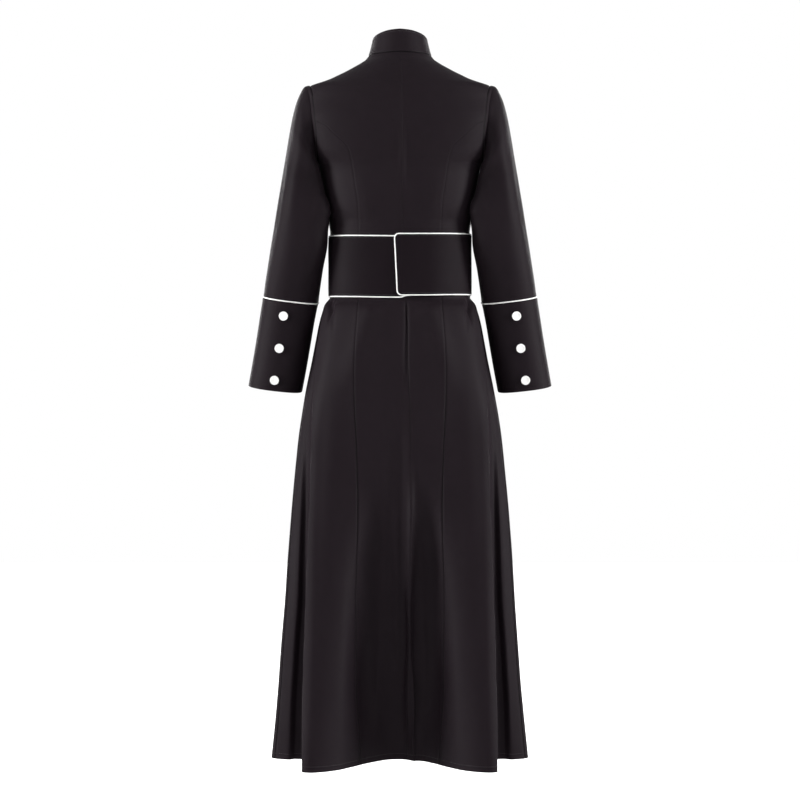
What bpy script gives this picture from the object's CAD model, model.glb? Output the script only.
"""A black clergy cassock as it hangs when worn: cloth, seams, sewing, piping, buttons, belt and studio.

Metres, +Z up, the front towards -Y. The origin is the middle of the neck opening, level with the collar seam.
Places on the body are given as s and z. s runs from 0 to 4 round it: centre back, left side, centre front,
right side.
"""

import itertools
import logging
import math
from dataclasses import dataclass, field
from enum import Enum
from typing import Callable, Optional, Sequence

import bpy
import numpy as np
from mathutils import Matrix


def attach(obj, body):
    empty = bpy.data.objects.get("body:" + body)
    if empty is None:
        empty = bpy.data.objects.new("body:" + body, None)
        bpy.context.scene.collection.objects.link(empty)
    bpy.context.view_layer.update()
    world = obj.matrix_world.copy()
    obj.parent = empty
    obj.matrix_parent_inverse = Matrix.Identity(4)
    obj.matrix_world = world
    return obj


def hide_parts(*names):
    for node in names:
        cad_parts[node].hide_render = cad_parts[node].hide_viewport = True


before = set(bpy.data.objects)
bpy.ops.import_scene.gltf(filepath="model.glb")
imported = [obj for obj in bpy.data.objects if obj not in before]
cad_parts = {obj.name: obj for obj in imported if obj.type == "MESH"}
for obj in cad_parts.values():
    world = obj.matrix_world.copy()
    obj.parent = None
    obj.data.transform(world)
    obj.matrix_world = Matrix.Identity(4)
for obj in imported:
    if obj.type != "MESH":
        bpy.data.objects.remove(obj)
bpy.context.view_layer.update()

Array = np.ndarray
Triple = tuple[float, float, float]
Piece = bpy.types.Object
Material = bpy.types.Material
Node = bpy.types.Node
Socket = bpy.types.NodeSocket
Tree = bpy.types.NodeTree
LOG = logging.getLogger("cassock")

# Heights on the garment, and how far the neck edge falls from back to front.
HEM = -1.403
SHOULDER_TIP = -0.0600
UNDERARM = -0.220
PRINCESS_TOP = -0.1375
BELT_LEVEL = -0.42
NECK_DROP = 0.040

# The front lap: how far it runs past the middle in s, and how far it lifts the right front and the belt.
LAP = 0.055
LAP_LIFT = 0.0021
BELT_LIFT = 0.0024

# Farther out than any cloth.
PAST_ALL = 9.0

LEVEL_PLANE = np.array([1.0, 1.0, 0.0])

# One row per level: height, half width, depth behind, depth in front, squareness of the section.
SECTIONS = (
    (0.004, 0.0605, 0.0610, 0.0570, 2.00),
    (0.000, 0.0620, 0.0615, 0.0580, 2.00),
    (-0.0075, 0.0675, 0.0660, 0.0620, 2.00),
    (-0.0162, 0.0800, 0.0715, 0.0670, 2.05),
    (-0.0245, 0.0945, 0.0755, 0.0710, 2.10),
    (-0.0325, 0.1095, 0.0785, 0.0745, 2.10),
    (-0.0405, 0.1260, 0.0810, 0.0780, 2.15),
    (-0.0485, 0.1430, 0.0835, 0.0815, 2.20),
    (-0.0562, 0.1655, 0.0860, 0.0850, 2.20),
    (-0.0600, 0.1780, 0.0870, 0.0865, 2.20),
    (-0.067, 0.1875, 0.0895, 0.0895, 2.25),
    (-0.090, 0.1930, 0.0960, 0.0990, 2.35),
    (-0.130, 0.1930, 0.1030, 0.1100, 2.40),
    (-0.160, 0.1890, 0.1050, 0.1160, 2.40),
    (-0.190, 0.1780, 0.1040, 0.1190, 2.35),
    (-0.210, 0.1665, 0.1030, 0.1190, 2.30),
    (-0.220, 0.1600, 0.1020, 0.1190, 2.30),
    (-0.250, 0.1545, 0.1000, 0.1170, 2.30),
    (-0.300, 0.1470, 0.0950, 0.1100, 2.30),
    (-0.342, 0.1396, 0.0880, 0.1030, 2.30),
    (-0.352, 0.1383, 0.0870, 0.1020, 2.30),
    (-0.483, 0.1386, 0.0870, 0.1020, 2.30),
    (-0.490, 0.1445, 0.0885, 0.1030, 2.30),
    (-0.497, 0.1500, 0.0955, 0.1070, 2.40),
    (-0.508, 0.1545, 0.1005, 0.1110, 2.50),
    (-0.526, 0.1605, 0.1060, 0.1150, 2.60),
    (-0.566, 0.1690, 0.1150, 0.1210, 2.80),
    (-0.606, 0.1765, 0.1240, 0.1270, 2.90),
    (-0.686, 0.1910, 0.1370, 0.1360, 3.00),
    (-0.766, 0.2030, 0.1460, 0.1430, 3.00),
    (-0.846, 0.2110, 0.1520, 0.1490, 3.00),
    (-0.926, 0.2180, 0.1570, 0.1530, 3.00),
    (-1.006, 0.2240, 0.1600, 0.1560, 3.00),
    (-1.086, 0.2290, 0.1630, 0.1590, 3.00),
    (-1.166, 0.2350, 0.1650, 0.1610, 3.00),
    (-1.246, 0.2410, 0.1670, 0.1630, 3.00),
    (-1.326, 0.2480, 0.1690, 0.1640, 3.00),
    (-1.403, 0.2560, 0.1700, 0.1650, 3.00),
)

# One row per fold line of a half: s, its x and y at the hem, the level it starts from, how it grows.
FOLDS = (
    (0.00, 0.000, 0.035, -0.55, 1.40),
    (0.14, 0.046, 0.060, -0.55, 1.40),
    (0.22, 0.070, 0.074, -0.55, 1.40),
    (0.30, 0.093, 0.096, -0.55, 1.40),
    (0.38, 0.115, 0.124, -0.52, 1.30),
    (0.46, 0.138, 0.142, -0.50, 1.20),
    (0.54, 0.161, 0.1515, -0.50, 1.10),
    (0.60, 0.177, 0.151, -0.50, 1.00),
    (0.64, 0.188, 0.139, -0.50, 1.00),
    (0.70, 0.183, 0.105, -0.50, 1.10),
    (0.78, 0.174, 0.056, -0.50, 1.00),
    (0.84, 0.180, 0.022, -0.50, 0.95),
    (0.90, 0.198, 0.010, -0.50, 0.90),
    (0.96, 0.228, 0.009, -0.50, 0.95),
    (1.02, 0.255, -0.007, -0.50, 1.00),
    (1.09, 0.246, -0.039, -0.50, 1.10),
    (1.17, 0.220, -0.056, -0.50, 1.20),
    (1.27, 0.211, -0.085, -0.50, 1.20),
    (1.38, 0.213, -0.124, -0.50, 1.10),
    (1.46, 0.200, -0.153, -0.50, 1.00),
    (1.55, 0.170, -0.166, -0.50, 1.10),
    (1.66, 0.130, -0.150, -0.52, 1.20),
    (1.78, 0.085, -0.127, -0.55, 1.30),
    (1.90, 0.040, -0.135, -0.55, 1.30),
    (2.00, 0.000, -0.145, -0.55, 1.30),
)

# Seams as height, distance from the middle.
ARMHOLE = (
    (-0.0600, 0.1780),
    (-0.070, 0.1750),
    (-0.086, 0.1715),
    (-0.125, 0.1670),
    (-0.172, 0.1635),
    (-0.211, 0.1610),
    (-0.220, 0.1600),
)
PRINCESS = (
    (-0.1375, 0.1660),
    (-0.148, 0.1456),
    (-0.160, 0.1340),
    (-0.170, 0.1240),
    (-0.181, 0.1110),
    (-0.194, 0.1010),
    (-0.225, 0.0935),
    (-0.260, 0.0880),
    (-0.300, 0.0825),
    (-0.360, 0.0805),
    (-0.420, 0.0805),
    (-0.490, 0.0815),
    (-0.580, 0.0860),
    (-0.670, 0.0885),
    (-0.766, 0.0850),
    (-0.900, 0.0820),
    (-1.080, 0.0815),
    (-1.200, 0.0770),
    (-1.403, 0.0750),
)
BACK_SEAM = (
    (0.004, -0.0030),
    (-0.300, -0.0040),
    (-0.470, -0.0110),
    (-0.620, -0.0160),
    (-0.740, -0.0200),
    (-0.880, -0.0220),
    (-1.155, -0.0155),
    (-1.250, -0.0085),
    (-1.403, -0.0060),
)

# The collar's upper edge: s in one half, height.
COLLAR_TOP = (
    (0.00, 0.0478),
    (0.25, 0.0462),
    (0.50, 0.0427),
    (0.75, 0.0385),
    (1.00, 0.0345),
    (1.50, 0.0200),
    (2.00, 0.0060),
)

# Rings of the sleeve and the cuff: outer point x, z, inner point x, z, middle y, half depth, forward tilt.
SLEEVE = (
    (0.1860, -0.0615, 0.1630, -0.2195, -0.0045, 0.0690, 0.00),
    (0.1938, -0.0670, 0.1632, -0.2225, -0.0035, 0.0700, 0.00),
    (0.1998, -0.0777, 0.1628, -0.2265, -0.0020, 0.0705, 0.00),
    (0.2052, -0.0910, 0.1618, -0.2310, 0.0000, 0.0705, 0.00),
    (0.2101, -0.1080, 0.1606, -0.2355, 0.0025, 0.0705, 0.00),
    (0.2150, -0.1290, 0.1594, -0.2410, 0.0050, 0.0700, 0.00),
    (0.2200, -0.1570, 0.1576, -0.2475, 0.0090, 0.0690, 0.00),
    (0.2260, -0.1950, 0.1550, -0.2590, 0.0160, 0.0660, 0.00),
    (0.2335, -0.2420, 0.1496, -0.2860, 0.0240, 0.0630, 0.01),
    (0.2420, -0.2940, 0.1432, -0.3230, 0.0265, 0.0605, 0.02),
    (0.2515, -0.3520, 0.1440, -0.3700, 0.0215, 0.0585, 0.05),
    (0.2620, -0.4150, 0.1548, -0.4280, 0.0040, 0.0540, 0.10),
    (0.2728, -0.4760, 0.1645, -0.4885, -0.0165, 0.0490, 0.13),
)
CUFF = (
    (0.2745, -0.4800, 0.1653, -0.4930, -0.0180, 0.0488, 0.13),
    (0.2812, -0.5200, 0.1732, -0.5320, -0.0225, 0.0482, 0.13),
    (0.2885, -0.5650, 0.1810, -0.5770, -0.0275, 0.0475, 0.13),
    (0.2965, -0.6100, 0.1890, -0.6220, -0.0325, 0.0468, 0.13),
    (0.3050, -0.6565, 0.1980, -0.6685, -0.0380, 0.0465, 0.13),
)
CUFF_BUTTONS = ((0.2310, -0.5190), (0.2400, -0.5830), (0.2500, -0.6465))

# The belt's run: place along it (0 at its upper end), s on the body, height of its middle.
BELT_RUN = (
    (-0.05, 4.090, -0.4208),
    (0.00, 4.035, -0.4208),
    (0.25, 3.760, -0.4205),
    (0.55, 3.400, -0.4185),
    (1.00, 3.000, -0.4162),
    (2.00, 2.000, -0.4150),
    (3.00, 1.000, -0.4197),
    (4.00, 0.000, -0.4249),
    (4.02, -0.020, -0.4243),
    (4.05, -0.050, -0.4222),
    (4.10, -0.100, -0.4208),
    (4.18, -0.180, -0.4204),
)

# Soft creases of a sleeve: share round it from the shoulder point over the back, share of its length.
SLEEVE_LINES = (
    (((0.16, 0.42), (0.20, 0.60), (0.17, 0.84)), 0.0120, 0.0022),
    (((0.30, 0.38), (0.33, 0.58), (0.30, 0.80)), 0.0100, -0.0024),
    (((0.395, 0.22), (0.400, 0.48), (0.400, 0.77)), 0.0200, 0.0046, (0.1, 0.1)),
    (((0.410, 0.67), (0.415, 0.745), (0.410, 0.82)), 0.0140, 0.0052, (0.3, 0.3)),
    (((0.06, 0.55), (0.08, 0.72), (0.06, 0.92)), 0.0090, -0.0014),
    (((0.70, 0.36), (0.66, 0.50), (0.60, 0.60)), 0.0090, -0.0028),
    (((0.80, 0.46), (0.74, 0.60), (0.70, 0.78)), 0.0110, 0.0022),
)


class Side(Enum):
    """The wearer's left, at +X, or right."""

    LEFT = "left"
    RIGHT = "right"

    @property
    def sign(self) -> int:
        """1 at +X, -1 at -X."""
        return 1 if self is Side.LEFT else -1


class Edge(Enum):
    """How a piece of cloth ends along one of its edges."""

    SEAM = "turned in along a seam"
    FOLD = "folded over and rounded"


def curve(xs: Sequence[float], ys: Sequence[float], where: Array) -> Array:
    """Smooth curve through points that never passes them.

    Args:
        xs: places of the points, rising or falling.
        ys: values there.
        where: places to read.

    Returns:
        The values at `where`.
    """
    xs, ys = np.asarray(xs, float), np.asarray(ys, float)
    if xs[0] > xs[-1]:
        xs, ys = xs[::-1], ys[::-1]
    gaps = np.diff(xs)
    slopes = np.diff(ys) / gaps
    tangents = np.zeros_like(ys)
    tangents[0], tangents[-1] = slopes[0], slopes[-1]
    for i in range(1, len(xs) - 1):
        if slopes[i - 1] * slopes[i] > 0:
            first, second = 2 * gaps[i] + gaps[i - 1], gaps[i] + 2 * gaps[i - 1]
            tangents[i] = (first + second) / (first / slopes[i - 1] + second / slopes[i])
    at = np.clip(np.asarray(where, float), xs[0], xs[-1])
    k = np.clip(np.searchsorted(xs, at) - 1, 0, len(xs) - 2)
    t = (at - xs[k]) / gaps[k]
    value = ys[k] * (1 + 2 * t) * (1 - t) ** 2 + tangents[k] * gaps[k] * t * (1 - t) ** 2
    return value + ys[k + 1] * t * t * (3 - 2 * t) + tangents[k + 1] * gaps[k] * t * t * (t - 1)


def column(table: Sequence[Sequence[float]], index: int, where: Array) -> Array:
    """Column `index` of a table, read at places in its first column."""
    return curve([row[0] for row in table], [row[index] for row in table], where)


def ease(t: Array) -> Array:
    """Soft step from 0 to 1."""
    t = np.clip(t, 0.0, 1.0)
    return t * t * (3 - 2 * t)


def unit(vectors: Array) -> Array:
    """Vectors made one long."""
    return vectors / np.maximum(np.linalg.norm(vectors, axis=-1, keepdims=True), 1e-12)


def between(z: Array, top: float, bottom: float, top_fade: float, bottom_fade: float) -> Array:
    """1 between two heights, coming up softly below the top and dying out above the bottom."""
    return ease((top - z) / top_fade) * ease((z - bottom) / bottom_fade)


def half_of(s: Array) -> Array:
    """Places round the body, with the right half's turned over onto the left."""
    return np.where(s > 2, 4 - s, s)


def run_of(points: Array, axis: int) -> Array:
    """Length run over a grid of points, down its columns for axis 0 or along its rows for axis 1."""
    steps = np.linalg.norm(np.diff(points, axis=axis), axis=-1)
    return np.insert(np.cumsum(steps, axis=axis), 0, 0.0, axis=axis)


def even_steps(points: Array, count: int) -> Array:
    """An open line of points, resampled to `count` points at even steps."""
    run = run_of(points, 0)
    return np.stack([np.interp(np.linspace(0, run[-1], count), run, line) for line in points.T], axis=-1)


@dataclass(frozen=True)
class SoftNoise:
    """A smooth random field with a fixed seed, from -1 to 1.

    Attributes:
        size: of its cells, in metres.
        seed: of its random values.
        count: cells each way before it repeats.
        shift: keeps the cells' numbers above zero.
    """

    size: Triple
    seed: int
    count: int = 24
    shift: float = 100.0

    def at(self, points: Array) -> Array:
        """Reads the field.

        Args:
            points: where, (..., 3).

        Returns:
            Its value at each point.
        """
        lattice = np.random.default_rng(self.seed).uniform(-1, 1, (self.count,) * 3)
        cell = points / np.array(self.size) + self.shift
        base = np.floor(cell).astype(int)
        t = ease(cell - base)
        total = np.zeros(points.shape[:-1])
        for corner in itertools.product((0, 1), repeat=3):
            weight = np.ones(points.shape[:-1])
            for axis in range(3):
                weight = weight * (t[..., axis] if corner[axis] else 1 - t[..., axis])
            spot = (base + np.array(corner)) % self.count
            total += weight * lattice[spot[..., 0], spot[..., 1], spot[..., 2]]
        return total


@dataclass(frozen=True)
class Crease:
    """A soft ridge or trough along a line on the cloth.

    Attributes:
        line: points along it, in the piece's own surface places.
        width: half width across it, in metres.
        height: how far it stands out, or in where it is below zero.
        fade: shares of its length over which it comes up at its start and dies out at its end. At 0 it runs
            to its end in full.
        growth: how many times as wide and as high it is at its end.
        reach: how many widths away it is still felt.
    """

    line: tuple[tuple[float, float], ...]
    width: float
    height: float
    fade: tuple[float, float] = (0.35, 0.35)
    growth: float = 1.0
    reach: float = 3.0

    def path(self, surface: Callable[[Array, Array], Array]) -> Array:
        """The crease's line in space.

        Args:
            surface: gives the points of the cloth at two rows of surface places.

        Returns:
            Points along it, (n, 3).
        """
        ends = np.array(self.line)
        places = np.linspace(0, len(ends) - 1, 8 * len(ends))
        first, second = (curve(range(len(ends)), ends[:, i], places) for i in (0, 1))
        return surface(first, second)

    def lift(self, points: Array, path: Array) -> Array:
        """How far the crease moves each point outward.

        Args:
            points: points of the cloth, (..., 3).
            path: the crease's line in space, (n, 3).

        Returns:
            One distance for each point.
        """
        flat = points.reshape(-1, 3)
        margin = self.reach * self.width * max(self.growth, 1)
        low, high = path.min(0) - margin, path.max(0) + margin
        near = np.nonzero(((flat > low) & (flat < high)).all(1))[0]
        lift = np.zeros(len(flat))
        if len(near) == 0:
            return lift.reshape(points.shape[:-1])
        run = run_of(path, 0)
        best = np.full(len(near), PAST_ALL)
        along = np.zeros(len(near))
        for i in range(len(path) - 1):
            step = path[i + 1] - path[i]
            length = max(float(np.dot(step, step)), 1e-12)
            t = np.clip((flat[near] - path[i]) @ step / length, 0, 1)
            away = np.linalg.norm(flat[near] - path[i] - t[:, None] * step, axis=1)
            closer = away < best
            best = np.where(closer, away, best)
            along = np.where(closer, (run[i] + t * math.sqrt(length)) / run[-1], along)
        strength = ease(along / self.fade[0])
        if self.fade[1] > 0:
            strength = strength * ease((1 - along) / self.fade[1])
        grown = 1 + (self.growth - 1) * along
        lift[near] = self.height * grown * strength * np.exp(-((best / (self.width * grown)) ** 2))
        return lift.reshape(points.shape[:-1])


@dataclass(frozen=True)
class Pleat:
    """A crisp fold down the skirt: the cloth rises to a crest and falls in behind it.

    Attributes:
        crest: height and s of its crest.
        rise: height, how far the crest stands out there and how far the cloth falls in behind it.
        behind: 1 where it falls in towards greater s, -1 towards lesser.
        turn: how wide the turn over the crest is.
        reach: how far the rise starts before the crest.
        back: how far it takes to come out again.
    """

    crest: tuple[tuple[float, float], ...]
    rise: tuple[Triple, ...]
    behind: int
    turn: float = 0.006
    reach: float = 0.030
    back: float = 0.030

    def lift(self, s: Array, z: Array, quarter: Array) -> Array:
        """How far the pleat moves the cloth outward.

        Args:
            s: places on the left half.
            z: heights.
            quarter: length of a quarter of the section there.

        Returns:
            One distance for each place.
        """
        away = self.behind * (s - column(self.crest, 1, z)) * quarter
        before = np.exp(np.minimum(away, 0) / self.reach)
        after = np.exp(-np.maximum(away - self.turn, 0) / self.back)
        over = ease(away / self.turn)
        return column(self.rise, 1, z) * before * (1 - over) - column(self.rise, 2, z) * after * over


SLEEVE_CREASES = tuple(Crease(*row) for row in SLEEVE_LINES)
PLEATS = (
    Pleat(
        (
            (-0.49, 0.860), (-0.52, 0.790), (-0.548, 0.762), (-0.608, 0.742), (-0.686, 0.660),
            (-0.764, 0.627), (-0.918, 0.620), (-1.054, 0.627), (-1.266, 0.632), (-1.403, 0.622),
        ),
        (
            (-0.495, 0.0, 0.0), (-0.53, 0.0045, 0.0100), (-0.61, 0.0068, 0.0210),
            (-0.76, 0.0078, 0.0250), (-0.87, 0.0070, 0.0190), (-1.0, 0.0066, 0.0125),
            (-1.403, 0.0050, 0.0090),
        ),
        1, 0.005, 0.020, 0.028,
    ),
    Pleat(
        (
            (-0.80, 0.940), (-0.926, 0.937), (-1.084, 0.942), (-1.164, 0.950), (-1.284, 0.955),
            (-1.403, 0.947),
        ),
        (
            (-0.79, 0.0, 0.0), (-0.86, 0.0022, 0.0020), (-0.93, 0.0034, 0.0031),
            (-1.10, 0.0038, 0.0034), (-1.403, 0.0032, 0.0029),
        ),
        -1, 0.010, 0.022, 0.022,
    ),
)

# Softer creases of the body, in s and height; those of the first group show on both sides.
PAIRED_CREASES = (
    Crease(((0.825, -0.486), (0.685, -0.512), (0.670, -0.545)), 0.0050, -0.0060, (0.2, 0.4)),
    Crease(((0.727, -0.488), (0.640, -0.520), (0.572, -0.560)), 0.0040, -0.0022, (0.2, 0.5)),
    Crease(((0.420, -0.200), (0.330, -0.290), (0.270, -0.352)), 0.0200, 0.0016, (0.5, 0.3)),
    Crease(((0.240, -0.494), (0.320, -0.570), (0.400, -0.700)), 0.0230, 0.0070, (0.12, 0.6)),
    Crease(((0.480, -0.620), (0.470, -0.860), (0.490, -1.150)), 0.0180, 0.0022, (0.4, 0.5)),
    Crease(((1.120, -0.640), (1.110, -0.950), (1.125, -1.380)), 0.0140, -0.0060, (0.5, 0.0)),
    Crease(((1.300, -0.560), (1.290, -0.900), (1.280, -1.390)), 0.0240, -0.0090, (0.5, 0.0)),
    Crease(((1.420, -0.540), (1.430, -0.820), (1.450, -1.390)), 0.0160, 0.0050, (0.5, 0.0)),
    Crease(((1.640, -0.530), (1.655, -0.720), (1.660, -0.980)), 0.0150, -0.0045, (0.4, 0.5)),
    Crease(((1.780, -0.720), (1.790, -1.000), (1.775, -1.390)), 0.0240, -0.0080, (0.5, 0.0)),
    Crease(((1.560, -0.240), (1.600, -0.300), (1.640, -0.345)), 0.0110, -0.0028, (0.5, 0.2)),
    Crease(((1.300, -0.205), (1.420, -0.240), (1.520, -0.262)), 0.0080, -0.0022, (0.3, 0.5)),
)
SINGLE_CREASES = (
    Crease(
        ((0.150, -0.820), (0.190, -1.060), (0.178, -1.234), (0.120, -1.400)),
        0.0210, -0.0150, (0.35, 0.0), 2.1,
    ),
    Crease(
        ((3.845, -0.820), (3.812, -1.060), (3.824, -1.234), (3.886, -1.400)),
        0.0200, -0.0150, (0.35, 0.0), 2.1,
    ),
    Crease(((3.985, -1.020), (3.985, -1.400)), 0.0240, -0.0060, (0.6, 0.0), 2.0),
    Crease(
        (
            (3.928, -0.790), (3.927, -0.880), (3.934, -0.980), (3.942, -1.076), (3.950, -1.154),
            (3.975, -1.256), (3.982, -1.390),
        ),
        0.0046, 0.0050, (0.25, 0.15), 1.3,
    ),
    Crease(
        ((0.020, -0.840), (0.025, -1.000), (0.025, -1.116), (0.005, -1.206), (-0.013, -1.290)),
        0.0080, 0.0030,
    ),
    Crease(((3.938, -0.486), (3.945, -0.550), (3.953, -0.608), (3.950, -0.690)), 0.0042, -0.0040, (0.1, 0.5)),
    Crease(((-0.020, -0.110), (-0.023, -0.198), (-0.025, -0.290)), 0.0048, 0.0020, (0.4, 0.4)),
)


@dataclass
class BodyForm:
    """The body's surface: the middle of its cloth at every s and z.

    Attributes:
        step_z: distance between the levels of its table.
        top: the highest level.
        count_s: steps in a quarter of a section.
        squarer: how much squarer the bodice's back is than the table says.
        forward: how far the bodice above the belt leans back.
        flute_top: where the soft flutes beside the centre back start.
        flute_width: how wide they are in s.
        flutes: how far out they stand at the hem, left and right.
        look: how far apart, in s and z, places are compared to find the direction out.
        trials: places tried when one is looked for.
        levels: the levels of its table.
        table: x and y at each level and step.
        folds: the fold lines and their shifts.
    """

    step_z: float = 0.002
    top: float = 0.006
    count_s: int = 160
    squarer: float = 0.6
    forward: float = -0.010
    flute_top: float = -0.62
    flute_width: float = 0.12
    flutes: tuple[float, float] = (-0.004, 0.012)
    look: tuple[float, float] = (0.012, 0.003)
    trials: int = 321
    levels: Array = field(init=False)
    table: Array = field(init=False)
    folds: tuple[Array, ...] = field(init=False)

    def __post_init__(self) -> None:
        """Works out the table that the surface is read from."""
        self.levels = np.arange(self.top, HEM - 2.05 * self.step_z, -self.step_z)
        self.table = np.stack(self._sections(), axis=-1)
        self.folds = self._fold_table()

    def _sections(self) -> tuple[Array, Array]:
        """Sections of one half at every level, in even steps of length.

        Returns:
            x and y, (levels, steps) each.
        """
        angle = np.linspace(0, math.pi / 2, 181)
        sine, cosine = np.sin(angle), np.clip(np.cos(angle), 0, 1)
        width = column(SECTIONS, 1, self.levels)
        bodice = between(self.levels, -0.085, -0.36, 0.05, 0.06)
        share = np.linspace(0, 1, self.count_s + 1)
        halves = []
        for index in (2, 3):
            depth = column(SECTIONS, index, self.levels)
            power = 2 / (column(SECTIONS, 4, self.levels) + (self.squarer * bodice if index == 2 else 0))
            quarter = []
            for w, d, p in zip(width, depth, power):
                x, y = w * sine**p, d * cosine**p
                run = np.concatenate([[0], np.cumsum(np.hypot(np.diff(x), np.diff(y)))])
                where = share * run[-1]
                quarter.append((np.interp(where, run, x), np.interp(where, run, y)))
            halves.append(np.array(quarter))
        back, front = halves
        x = np.concatenate([back[:, 0], front[:, 0, ::-1][:, 1:]], axis=1)
        y = np.concatenate([back[:, 1], -front[:, 1, ::-1][:, 1:]], axis=1)
        return x, y

    def _plain(self, s: Array, z: Array) -> tuple[Array, Array]:
        """The left half before its folds.

        Args:
            s: places from 0 to 2.
            z: heights.

        Returns:
            x and y at each place.
        """
        row = np.clip((self.top - z) / self.step_z, 0, len(self.levels) - 1.001)
        col = np.clip(s * self.count_s, 0, 2 * self.count_s - 0.001)
        i, j = row.astype(int), col.astype(int)
        u, v = (row - i)[:, None], (col - j)[:, None]
        upper = self.table[i, j] * (1 - v) + self.table[i, j + 1] * v
        lower = self.table[i + 1, j] * (1 - v) + self.table[i + 1, j + 1] * v
        point = upper * (1 - u) + lower * u
        forward = self.forward * between(z, -0.19, -0.358, 0.05, 0.03)
        return point[:, 0], point[:, 1] + forward * (1 - np.abs(s - 1) ** 2)

    def _fold_table(self) -> tuple[Array, ...]:
        """Fold lines with their shifts at the hem, and a mirrored line past each middle.

        Returns:
            The lines' s, shifts, starting levels and growth.
        """
        rows = np.array(FOLDS)
        hem_x, hem_y = self._plain(rows[:, 0], np.full(len(rows), HEM))
        shift = np.stack([rows[:, 1] - hem_x, rows[:, 2] - hem_y], axis=-1)
        shift[[0, -1], 0] = 0
        order = [1, *range(len(rows)), len(rows) - 2]
        places = np.concatenate([[-rows[1, 0]], rows[:, 0], [4 - rows[-2, 0]]])
        shift = shift[order]
        shift[[0, -1], 0] *= -1
        return places, shift, rows[order, 3], rows[order, 4]

    def _fold_shift(self, s: Array, z: Array) -> Array:
        """How far the folds move the skirt.

        Args:
            s: places from 0 to 2.
            z: heights.

        Returns:
            A shift in x and y for each place.
        """
        places, shift, start, growth = self.folds
        k = np.clip(np.searchsorted(places, s) - 1, 1, len(places) - 3)
        value = []
        for i in (k - 1, k, k + 1, k + 2):
            grown = np.clip((start[i] - z) / (start[i] - HEM), 0, 1) ** growth[i]
            value.append(grown[:, None] * shift[i])
        gap = (places[k + 1] - places[k])[:, None]
        t = (s - places[k])[:, None] / gap
        left = (value[2] - value[0]) / (places[k + 1] - places[k - 1])[:, None] * gap
        right = (value[3] - value[1]) / (places[k + 2] - places[k])[:, None] * gap
        moved = value[1] * (1 + 2 * t) * (1 - t) ** 2 + left * t * (1 - t) ** 2
        return moved + value[2] * t * t * (3 - 2 * t) + right * t * t * (t - 1)

    def point(self, s: Array, z: Array) -> Array:
        """Middle of the body's cloth.

        Args:
            s: places round the body.
            z: heights, of a shape that goes with s.

        Returns:
            Points, with the shape of s and z and a last axis of 3.
        """
        s, z = np.broadcast_arrays(np.asarray(s, float), np.asarray(z, float))
        around, level = np.mod(s.ravel(), 4), z.ravel()
        right = around > 2
        local = np.where(right, 4 - around, around)
        x, y = self._plain(local, level)
        shift = self._fold_shift(local, level)
        grown = np.clip((self.flute_top - level) / (self.flute_top - HEM), 0, 1)
        wave = np.sin(np.clip(local / self.flute_width, 0, 1) * math.pi) ** 2
        flute = np.where(right, self.flutes[1], self.flutes[0]) * grown * wave
        x = np.where(right, -1, 1) * (x + shift[:, 0])
        return np.stack([x, y + shift[:, 1] + flute, level], axis=-1).reshape(*s.shape, 3)

    def normal(self, s: Array, z: Array) -> Array:
        """Direction out of the body's cloth.

        Args:
            s: places round the body.
            z: heights, of a shape that goes with s.

        Returns:
            Directions, with the shape of s and z and a last axis of 3.
        """
        s, z = np.broadcast_arrays(np.asarray(s, float), np.asarray(z, float))
        step_s, step_z = self.look
        across = self.point(s + step_s, z) - self.point(s - step_s, z)
        down = self.point(s, z - step_z) - self.point(s, z + step_z)
        return unit(np.cross(across, down))

    def place_of(self, far: Array, z: Array, start: float, end: float) -> Array:
        """Where the cloth stands so far to the side of the middle.

        Args:
            far: the distance from the middle at each height.
            z: the heights.
            start: s to look from.
            end: s to look to.

        Returns:
            s at each height.
        """
        trial = np.linspace(start, end, self.trials)
        reach = np.abs(self.point(trial[None, :], z[:, None])[..., 0])
        past = reach >= far[:, None]
        k = np.where(past.any(1), past.argmax(1), self.trials - 1)
        before = np.maximum(k - 1, 0)
        rows = np.arange(len(z))
        rise = np.maximum(reach[rows, k] - reach[rows, before], 1e-9)
        share = np.clip((far - reach[rows, before]) / rise, 0, 1)
        return np.where(k == 0, trial[0], trial[before] + share * (trial[1] - trial[0]))

    def arm_place(self, z: Array, back: bool) -> Array:
        """s of a back's or a front's outer edge at each height: shoulder seam, armhole, side seam."""
        far = np.where((z < SHOULDER_TIP) & (z > UNDERARM), column(ARMHOLE, 1, z), PAST_ALL)
        return self.place_of(far, z, 0.0 if back else 2.0, 1.0)

    def quarter_length(self, z: Array, back: bool) -> Array:
        """Length of a quarter of the section at each height, behind or in front."""
        trial = np.linspace(0, 1, 61) if back else np.linspace(1, 2, 61)
        return run_of(self.point(trial, z[:, None]), 1)[:, -1]

    def back_seam(self, z: Array) -> Array:
        """s of the centre back seam, below zero to the right."""
        return column(BACK_SEAM, 1, z) / self.quarter_length(z, True)


def neck_level(s: Array) -> Array:
    """Height of the neck edge: level behind, lower in front."""
    return -NECK_DROP * ease(half_of(s) - 1)


def over_lap(s: Array) -> Array:
    """1 on the front lap, dying out on the right front beside it."""
    return 1 - ease((s - 2 - 1.6 * LAP) / (3 * LAP))


def front_lift(s: Array) -> Array:
    """How far the right front stands out to lie on the left one."""
    return LAP_LIFT * over_lap(s)


def belt_lift(s: Array) -> Array:
    """How far the belt stands out over the front lap."""
    local = np.mod(s, 4)
    return BELT_LIFT * over_lap(local) * ease((local - 2 + 4.5 * LAP) / (3 * LAP))


# -------------------- finishes


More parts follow.
